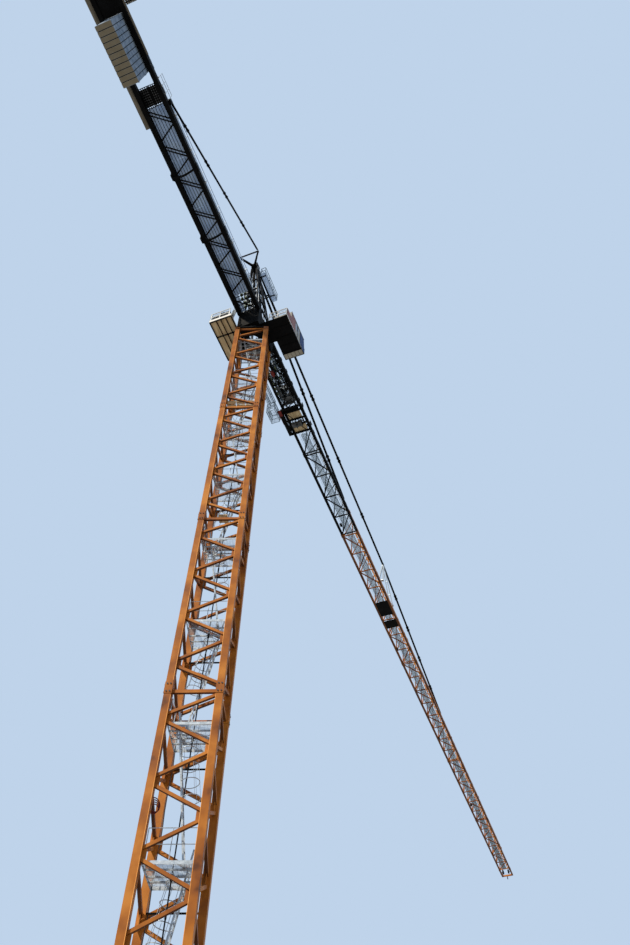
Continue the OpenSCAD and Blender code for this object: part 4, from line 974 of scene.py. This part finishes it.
for k in range(15):
    xs = np.linspace(156, 692 - 14 * (k % 5), 10)
    path = points(xs, -52 + 7.4 * k + 6 * np.sin(xs / 55 + 1.7 * k),
                  JIB_Z + 17 + 9 * (k % 3) + 5 * np.cos(xs / 40 + k))
    (pale if k % 4 == 2 else bundle).append(tube(curve(path, 5), 2.2 + 0.7 * (k % 3), 7))
    clips.append(path[1:-1:2] if k % 2 else path[2:-1:2])
clips = np.concatenate(clips)
piece("hose_bundle", bundle, rubber, smooth=True)
piece("conduits", pale, zinc, smooth=True)
piece("hose_clips", boxes(clips - (4, 5.5, 6.5), clips + (4, 5.5, 5.5)), zinc)
motor = lathe([(0, 0.1), (0, 12), (34, 13), (51, 9), (51, 0.1)], (368, 25, JIB_Z + 2), ALONG, 20)
piece("root_motor", motor, red_paint)
guard = blocks([(700, 752, 84, 108, 168, 170.8), (700, 830, 107, 109, 168, 184)], MAST_TOP)
piece("trolley_guard", guard, red_paint, "trolley")
wound = helix((JIB_X + BAY / 2 + 85, 0, JIB_Z + 48), 25.2, -29, 29, 23, 1.2)
piece("trolley_rope_turns", wound, rope, smooth=True)

# %% [markdown]
# ## Trolley
#
# The wheels' axles end in round caps on the cheeks, with two rows of bolts along the right cheek. A
# slanting flat brace runs under the frame in two lengths, and round cheeks flank the sheaves of the
# hook block. The frame itself stays as packed, because its plates already have their real thickness.

# %% Trolley details
CHEEK_Y, AXLE_X = 87, TROLLEY_L / 2 - 20
cap = [(0, 0.1), (0, 6.5), (2.5, 6.5), (4, 4), (4, 0.1)]
caps = [lathe(cap, (TROLLEY_X + dx, s * CHEEK_Y, JIB_Z + 12), (0, s, 0), 16)
        for dx in (-AXLE_X, AXLE_X) for s in (-1, 1)]
heads = np.array([(TROLLEY_X + dx, -CHEEK_Y, TROLLEY_TOP - dz) for dx in np.linspace(-115, 115, 9) for dz in (4, 10)])
caps.append(rods(heads, heads - 2 * ACROSS, 1.8, 6))
piece("trolley_caps", caps, steel, "trolley")
HOOK_Z = TROLLEY_TOP - 48
low = TROLLEY_TOP - 24.5
braces = [bars([(754, 40, low), (868, -15, low)], [(812, 12, low), (944, -52, low)], 6, 3),
          blocks([(752, 758, 36, 44, 0, 6), (938, 944, -56, -48, 0, 6)], low)]
piece("trolley_braces", braces, black, "trolley")
cheeks = [disc((SHEAVE_X, y, HOOK_Z), ACROSS, 14, 2) for y in (-44, 42)]
piece("hook_cheeks", cheeks, black, "trolley")

# %% [markdown]
# ## Counter-jib: splices, tail platform, rails and boxes
#
# The counter-jib's girders are spliced with plates and a bent strap that passes underneath. Behind
# the ballast a small platform of boards stands out to the right on three arms, with white rails.
# Toe boards and rail feet follow the walkway's edges. At its root the planking runs on past its end
# on the left, beside an opening with hoses and rows of boxes on bearers, and a small galvanised
# stair joins it to the service deck.

# %% Counter-jib details
straps = []
for x in (-712, -1150):
    y = np.linspace(-58, 92, 13)
    bend = 10 * np.sin(np.pi * (y + 58) / 150)
    path = points(x + bend, y, GIRDER_Z - 4 - bend)
    straps += [bars(path[:-1], path[1:], 13, 5),
               blocks([(x - 26, x + 26, COUNTER_HALF, COUNTER_HALF + 5, 2, GIRDER_H - 2),
                       (x - 20, x + 20, COUNTER_HALF, COUNTER_HALF + 10, -6, 14),
                       (x - 26, x + 26, -COUNTER_HALF - 4, -COUNTER_HALF, 2, GIRDER_H - 2)], GIRDER_Z)]
feet = [(x - 5, x + 5, -COUNTER_HALF - 9, -COUNTER_HALF, -12, 18) for x in np.arange(-1470, -300, 214)]
piece("rail_feet", blocks(feet, GIRDER_TOP), zinc)
side = -COUNTER_HALF
deck = [(-2298, -2094, side - 20 - 13 * k, side - 8.5 - 13 * k, -8, -4) for k in range(5)]
piece("tail_platform", blocks(deck, GIRDER_TOP), grey_boards)
piece("tail_arms", blocks([(x, x + 6, side - 74, side, -13, -8) for x in (-2286, -2200, -2110)], GIRDER_TOP), black)
posts = points([-2292, -2196, -2100, -2100], [side - 72, side - 72, side - 72, side - 12], GIRDER_TOP - 8)
rails = [rods(posts, posts + 112 * UP, 2.2, 8)]
rails += [rods(posts[[0, 2]] + h * UP, posts[[2, 3]] + h * UP, 2.0, 8) for h in (56, 110)]
piece("tail_rails", rails, white_paint)
piece("girder_straps", straps, black)
toe = [(PLANK0, PLANK1, y, y + 1.5, 4, 16) for y in (-COUNTER_HALF, COUNTER_HALF - 1.5)]
piece("toe_boards", blocks(toe, GIRDER_TOP), zinc)
piece("root_planks", blocks([(PLANK1, -118, y, y + 17.5, 2, 3) for y in (30, 49, 68)], GIRDER_TOP), planks_zinc)
hose_paths = [[(-250, -50, 10), (-200, -30, -20), (-150, -44, 4), (-116, -30, -30)],
              [(-252, -20, 8), (-215, -6, -14), (-170, -26, -6), (-116, -10, -24)],
              [(-248, 8, 6), (-190, 16, -8), (-150, -4, 6), (-116, 14, -20)]]
hoses = [tube(curve(GIRDER_TOP * UP + path), 3, 8) for path in hose_paths]
piece("back_hoses", hoses, rubber, smooth=True)
bits = GIRDER_TOP * UP + [(-232, -34, 8), (-205, -52, 6), (-180, -12, 8), (-158, -38, 10)]
piece("back_boxes", boxes(bits - (9, 7, 5), bits + (9, 7, 5)), grey_paint)
bearer_xs = (-236, -204, -172, -144)
bearers = blocks([(x - 2, x + 2, 4 - COUNTER_HALF, COUNTER_HALF - 4, 0, 7) for x in bearer_xs], GIRDER_TOP)
banks = np.array([(x, y + 9 * (k % 2), GIRDER_TOP + 20) for k, x in enumerate(bearer_xs) for y in (-44, -16, 12)])
piece("bank_bearers", join(bearers, boxes(banks[::3] - (8, 7, 13), banks[::3] + (8, 7, 11))), black)
banks = np.delete(banks, np.s_[::3], axis=0)
piece("back_banks", boxes(banks - (9, 9, 13), banks + (9, 9, 9)), olive_paint)
top, low = np.array([-150.0, 100, GIRDER_TOP - 6]), np.array([-178.0, 100, DECK_Z + 30])
at = low + (top - low) * np.linspace(0.04, 0.98, 9)[:, None]
cheeks = points(0, [-14, 14], 0)
stair = [bars(low + cheeks, top + cheeks, 2, 8), boxes(at - (8, 13, 0.7), at + (8, 13, 0.7))]
for s in (-15, 15):
    stair.append(tube(curve([low + (10, s, 10), low + (8, s, 70), top + (8, s, 60), top + (4, s, 6)]), 1.3, 6))
piece("small_stair", stair, zinc)

# %% [markdown]
# ## Slewing ring and service deck
#
# The ring gets its teeth and its bolts: bars and short rods round a circle, because at this size a
# true tooth form wouldn't show. The service deck gets white toe boards and rail sleeves, a mesh at
# its end, crates, and doors with louvres on the switch cabinets.


# %% Slewing ring and service deck details
def ring_of(step, radius, z, start=0):
    """Points round the slewing axis at every step in degrees: (r cos t, r sin t, z)."""
    t = np.radians(np.arange(start, 360, step))
    return points(radius * np.cos(t), radius * np.sin(t), z)


teeth = bars(ring_of(4.0, RING_R - 0.5, RING_Z - 9), ring_of(4.0, RING_R + 2.5, RING_Z - 9), 3.4, 14)
piece("ring_teeth", teeth, steel, "tower")
bolts = rods(ring_of(12.0, RING_R - 8, RING_Z + 0.6, 3), ring_of(12.0, RING_R - 8, RING_Z - 2, 3), 3, 6)
piece("ring_bolts", bolts, steel, "tower")
x0, x1, y0, y1 = -214, 106, 80, 247
deck = DECK_Z + 9
edge = [(x0 - 1.5, x0 + 0.5, y0, y1, 0, 24), (x0, x1, y1 - 1, y1 + 1.5, 0, 24), (x1 - 1, x1 + 1.5, y0, y1, 0, 24)]
piece("deck_toe_boards", blocks(edge, deck), white_paint)
crates = [(x0 + 8, x0 + 24, a, b, 14, 14 + h) for a, b, h in ((102, 138, 88), (146, 180, 98), (192, 236, 80))]
piece("deck_crates", blocks(crates, deck), black)
DECK_RAIL, CAB_RAIL = deck + 122, deck + 107
sleeves = []
for a, b, top in (((x0 + 2, y0 + 18), (x0 + 2, y1 - 2), DECK_RAIL), ((x0 + 2, y1 - 2), (x1 - 2, y1 - 2), DECK_RAIL),
                  ((x1 - 2, y0 + 18), (x1 - 2, y1 - 2), DECK_RAIL), ((-83, -282), (-83, -148), CAB_RAIL),
                  ((-83, -282), (-7, -282), CAB_RAIL)):
    a, b = np.array([*a, top]), np.array([*b, top])
    sleeves += [rods(a - drop * UP, b - drop * UP, 3.1, 8) for drop in (0, 55)]
    posts = a + (b - a) * [[0], [0.5], [1]]
    sleeves.append(rods(posts - 105 * UP, posts, 3.1, 8))
piece("white_rails", sleeves, white_paint)
wires = np.arange(y0 + 24, y1, 9.0)
levels_z = deck + np.array([40, 58, 76, 94])
far = [rods(points(x0 + 1, wires, deck + 24), points(x0 + 1, wires, deck + 118), 0.6, 4),
       rods(points(x0 + 1, y0 + 22, levels_z), points(x0 + 1, y1, levels_z), 0.6, 4)]
piece("deck_mesh", far, zinc)
DOOR_Y = 168
doors = []
for left, width, height in ((-184, 55, 125), (-129, 55, 125), (-44, 60, 95)):
    right, middle = left + width, (5 + height) / 2
    doors.append((left + 3, right - 3, 0, 1.6, 10, height - 4))
    doors += [(left + 8, right - 8, 1.6, 2.6, height - 14 - 4 * q, height - 12.5 - 4 * q) for q in range(4)]
    doors.append((right - 9, right - 7, 1.6, 4, middle - 6, middle + 6))
piece("cabinet_doors", blocks(np.array(doors) + (0, 0, DOOR_Y, DOOR_Y, 0, 0), deck), grey_paint)

# %% [markdown]
# ## Cab
#
# The cab's outer side shows a white skirt, a brown door panel and a dark corner window between
# black rubber edges. Thin panels stand a hair proud of the shell, and the edges are strips. Inside
# stand a seat and two consoles, and the balcony behind has mesh in its rails.

# %% Cab panels
CAB_OUT, CAB_IN, CAB_Z = -DECK_HALF - 64 - 140, -DECK_HALF - 64, DECK_Z + 8
CAB_X0, CAB_X1, CAB_NOSE, CAB_TOP = 1, 198, 250, DECK_Z + 220


def side_panel(corners, out):
    """A plate on the cab's outer side: the outline (x, z) between y and y - out."""
    return slab(corners, CAB_OUT - out, CAB_OUT - 0.1, 0.3, axis=1)


def upright(x0, x1, z0, z1):
    """The corners (x, z) of an upright rectangle."""
    return [(x0, z0), (x1, z0), (x1, z1), (x0, z1)]


white = side_panel(upright(-82, CAB_X0 + 60, CAB_Z, CAB_Z + 18), 1.6)
brown = join(side_panel(upright(CAB_X0, CAB_X0 + 70, CAB_Z + 24, CAB_TOP - 12), 1.4),
             side_panel(upright(-80, -3, CAB_Z + 22, CAB_Z + 104), 3.2))
corner = side_panel([(CAB_X1 - 30, CAB_Z + 30), (CAB_NOSE - 3, CAB_Z + 16), (CAB_NOSE - 3, CAB_Z + 84),
                     (CAB_NOSE - 16, CAB_TOP - 12), (CAB_X1 - 30, CAB_TOP - 12)], 1.4)
piece("cab_skirt", white, white_paint)
piece("cab_door", brown, brown_paint)
piece("cab_corner_window", corner, dark_glass)
strips = [(CAB_X0, CAB_X1, -2, 2, CAB_Z - 1, CAB_Z + 3), (CAB_X1, CAB_X1 + 3, -2, 0, CAB_Z, CAB_TOP - 6),
          (CAB_X0 - 1.5, CAB_X0 + 2, -1.5, 2, CAB_Z, CAB_TOP)]
strips += [(x, x + 3, -1.8, 0, CAB_Z + 30, CAB_TOP - 8) for x in (CAB_X0 + 114, CAB_X1 - 34)]
trim = [blocks(np.array(strips) + (0, 0, CAB_OUT, CAB_OUT, 0, 0))]
trim.append(bars((CAB_X0, CAB_OUT - 0.6, CAB_TOP - 8), (CAB_NOSE - 12, CAB_OUT - 0.6, CAB_TOP - 8), 3, 3))
front = CAB_NOSE + 0.6
for y in (CAB_IN, CAB_OUT):
    trim.append(bars((front, y, CAB_Z + 12), (front, y, CAB_Z + 86), 4, 4))
    trim.append(bars((CAB_X1, y, CAB_Z), (CAB_NOSE, y, CAB_Z + 14), 4, 4))
trim += [bars((front, CAB_IN, CAB_Z + z), (front, CAB_OUT, CAB_Z + z), 4, 4) for z in (14, 84)]
slats = np.linspace(CAB_OUT + 28, CAB_IN - 28, 4)
trim.append(bars(points(CAB_X1 + 6, slats, CAB_Z + 0.5), points(CAB_NOSE - 2, slats, CAB_Z + 12.5), 1.6, 1.6))
piece("cab_edges", trim, rubber)
ribs = [(x, x + 4, CAB_OUT + 4, CAB_IN - 2, -3, 0) for x in (-80, -20, 60, 128, 190)]
piece("cab_floor_ribs", blocks(ribs, DECK_Z), black)
roof = [blocks((CAB_X0 + 60, CAB_X0 + 130, CAB_OUT + 30, CAB_IN - 40, 0, 16), CAB_TOP),
        rods((CAB_X1 + 10, CAB_OUT + 12, CAB_TOP), (CAB_X1 + 10, CAB_OUT + 12, CAB_TOP + 26), 1.5, 8)]
piece("cab_roof_unit", roof, grey_paint)
BALCONY = -85
back, outer = BALCONY + 1.5, CAB_OUT + 1.5
ys, xs, zs = np.arange(CAB_OUT + 8, CAB_IN, 8.0), np.arange(BALCONY + 6, 0, 8.0), CAB_Z + np.array([20, 38, 74, 92])
mesh = [rods(points(back, ys, CAB_Z + 4), points(back, ys, CAB_Z + 106), 0.6, 4),
        rods(points(xs, outer, CAB_Z + 4), points(xs, outer, CAB_Z + 106), 0.6, 4),
        rods(points(back, CAB_OUT, zs), points(back, CAB_IN, zs), 0.6, 4),
        rods(points(BALCONY, outer, zs), points(0, outer, zs), 0.6, 4)]
piece("balcony_mesh", mesh, zinc)
seat = [(120, 150, -232, -196, 4, 30), (106, 116, -232, -196, 34, 104), (124, 170, -220, -208, 30, 38)]
consoles = [(178, 202, -256, -236, 4, 62), (178, 202, -196, -176, 4, 62)]
piece("cab_seat", blocks(seat + consoles, CAB_Z), rubber)

# %% [markdown]
# ## Camera
#
# The photograph was taken from the ground beside the mast with a wide lens, looking steeply up. The
# viewpoint below was fitted to the mast's corner posts and to the lines of both jibs.

# %% Camera
scene = bpy.context.scene
camera_data = bpy.data.cameras.new("camera")
camera = bpy.data.objects.new("camera", camera_data)
scene.collection.objects.link(camera)
scene.camera = camera
camera_data.sensor_fit = "VERTICAL"
FOCAL_PX, PHOTO_H_PX = 763.8, 945
camera_data.sensor_height = 24.0
camera_data.lens = FOCAL_PX / PHOTO_H_PX * camera_data.sensor_height
camera_data.clip_start = 0.01
camera_data.clip_end = 200


def aim(obj, place, heading, pitch, roll):
    """Sets place and turn from heading, pitch and roll in degrees: the columns are right, up, back."""
    h, p, r = (math.radians(x) for x in (heading, pitch, roll))
    ahead = np.array([math.cos(h) * math.cos(p), math.sin(h) * math.cos(p), math.sin(p)])
    right = np.array([math.sin(h), -math.cos(h), 0.0])
    up = np.cross(right, ahead)
    right2 = right * math.cos(r) + up * math.sin(r)
    up2 = np.cross(right2, ahead)
    m = np.eye(4)
    m[:3, 0], m[:3, 1], m[:3, 2], m[:3, 3] = right2, up2, -ahead, place
    obj.matrix_world = Matrix(m.tolist())


PLACE, HEADING, PITCH, ROLL = (-2.2047, -1.3216, 0.2328), 20.98, 52.55, 0.718
aim(camera, PLACE, HEADING, PITCH, ROLL)
print("camera at", PLACE, "with a lens of", round(camera_data.lens, 2), "mm")

# %% [markdown]
# ## Floor and light
#
# A plain pale floor, one large soft lamp like a sun through thin haze from the photograph's left,
# a weak fill from the right, and an even pale world.


# %% Floor and lights
def floor_material():
    """A plain matt floor that takes soft shadows."""
    m = bpy.data.materials.new("floor")
    m.use_nodes = True
    shader = m.node_tree.nodes["Principled BSDF"]
    shader.inputs["Base Color"].default_value = linear("#b8b5ae")
    shader.inputs["Roughness"].default_value = 0.9
    return m


floor_mesh = bpy.data.meshes.new("floor")
floor_mesh.from_pydata([(-60, -60, 0), (60, -60, 0), (60, 60, 0), (-60, 60, 0)], [], [(0, 1, 2, 3)])
floor_mesh.materials.append(floor_material())
floor = bpy.data.objects.new("floor", floor_mesh)
scene.collection.objects.link(floor)


def sun(name, azimuth, elevation, strength, angle, colour):
    """A distant lamp that shines from that azimuth (counter-clockwise from +X) and elevation."""
    data = bpy.data.lights.new(name, "SUN")
    data.energy = strength
    data.angle = math.radians(angle)
    data.color = linear(colour)[:3]
    obj = bpy.data.objects.new(name, data)
    scene.collection.objects.link(obj)
    a, e = math.radians(azimuth), math.radians(elevation)
    towards = np.array([math.cos(a) * math.cos(e), math.sin(a) * math.cos(e), math.sin(e)])
    obj.rotation_mode = "QUATERNION"
    obj.rotation_quaternion = Vector((-towards).tolist()).to_track_quat("-Z", "Y")
    return obj


sun("key", 150, 42, 4.0, 3, "#fff4e2")
sun("fill", -60, 20, 0.2, 40, "#dfeaff")

world = bpy.data.worlds.new("world")
scene.world = world
world.use_nodes = True
wt = world.node_tree
back = wt.nodes["Background"]
back.inputs["Color"].default_value = linear("#b4cdf6")
back.inputs["Strength"].default_value = 0.42
# The camera, mirrors and glass see a paler sky than the one that lights the part.
seen = add(wt, "Background", Color=linear("#bfd3ea"), Strength=1.0)
rays = add(wt, "LightPath")
direct = add(wt, "Math", {0: (rays, "Is Camera Ray"), 1: (rays, "Is Glossy Ray")}, operation="MAXIMUM")
in_view = add(wt, "Math", {0: (direct, "Value"), 1: (rays, "Is Transmission Ray")}, operation="MAXIMUM")
mix = add(wt, "MixShader", {0: (in_view, "Value")})
wt.links.new(back.outputs["Background"], mix.inputs[1])
wt.links.new(seen.outputs["Background"], mix.inputs[2])
wt.links.new(mix.outputs["Shader"], wt.nodes["World Output"].inputs["Surface"])

scene.view_settings.view_transform = "Standard"
print("lights:", len(bpy.data.lights))

# %% [markdown]
# ## Close
#
# The dressing reaches 3 mm past the imported part at one side. This cell prints how many triangles it adds.

# %% Close
print("triangles added:", sum(triangles.values()))
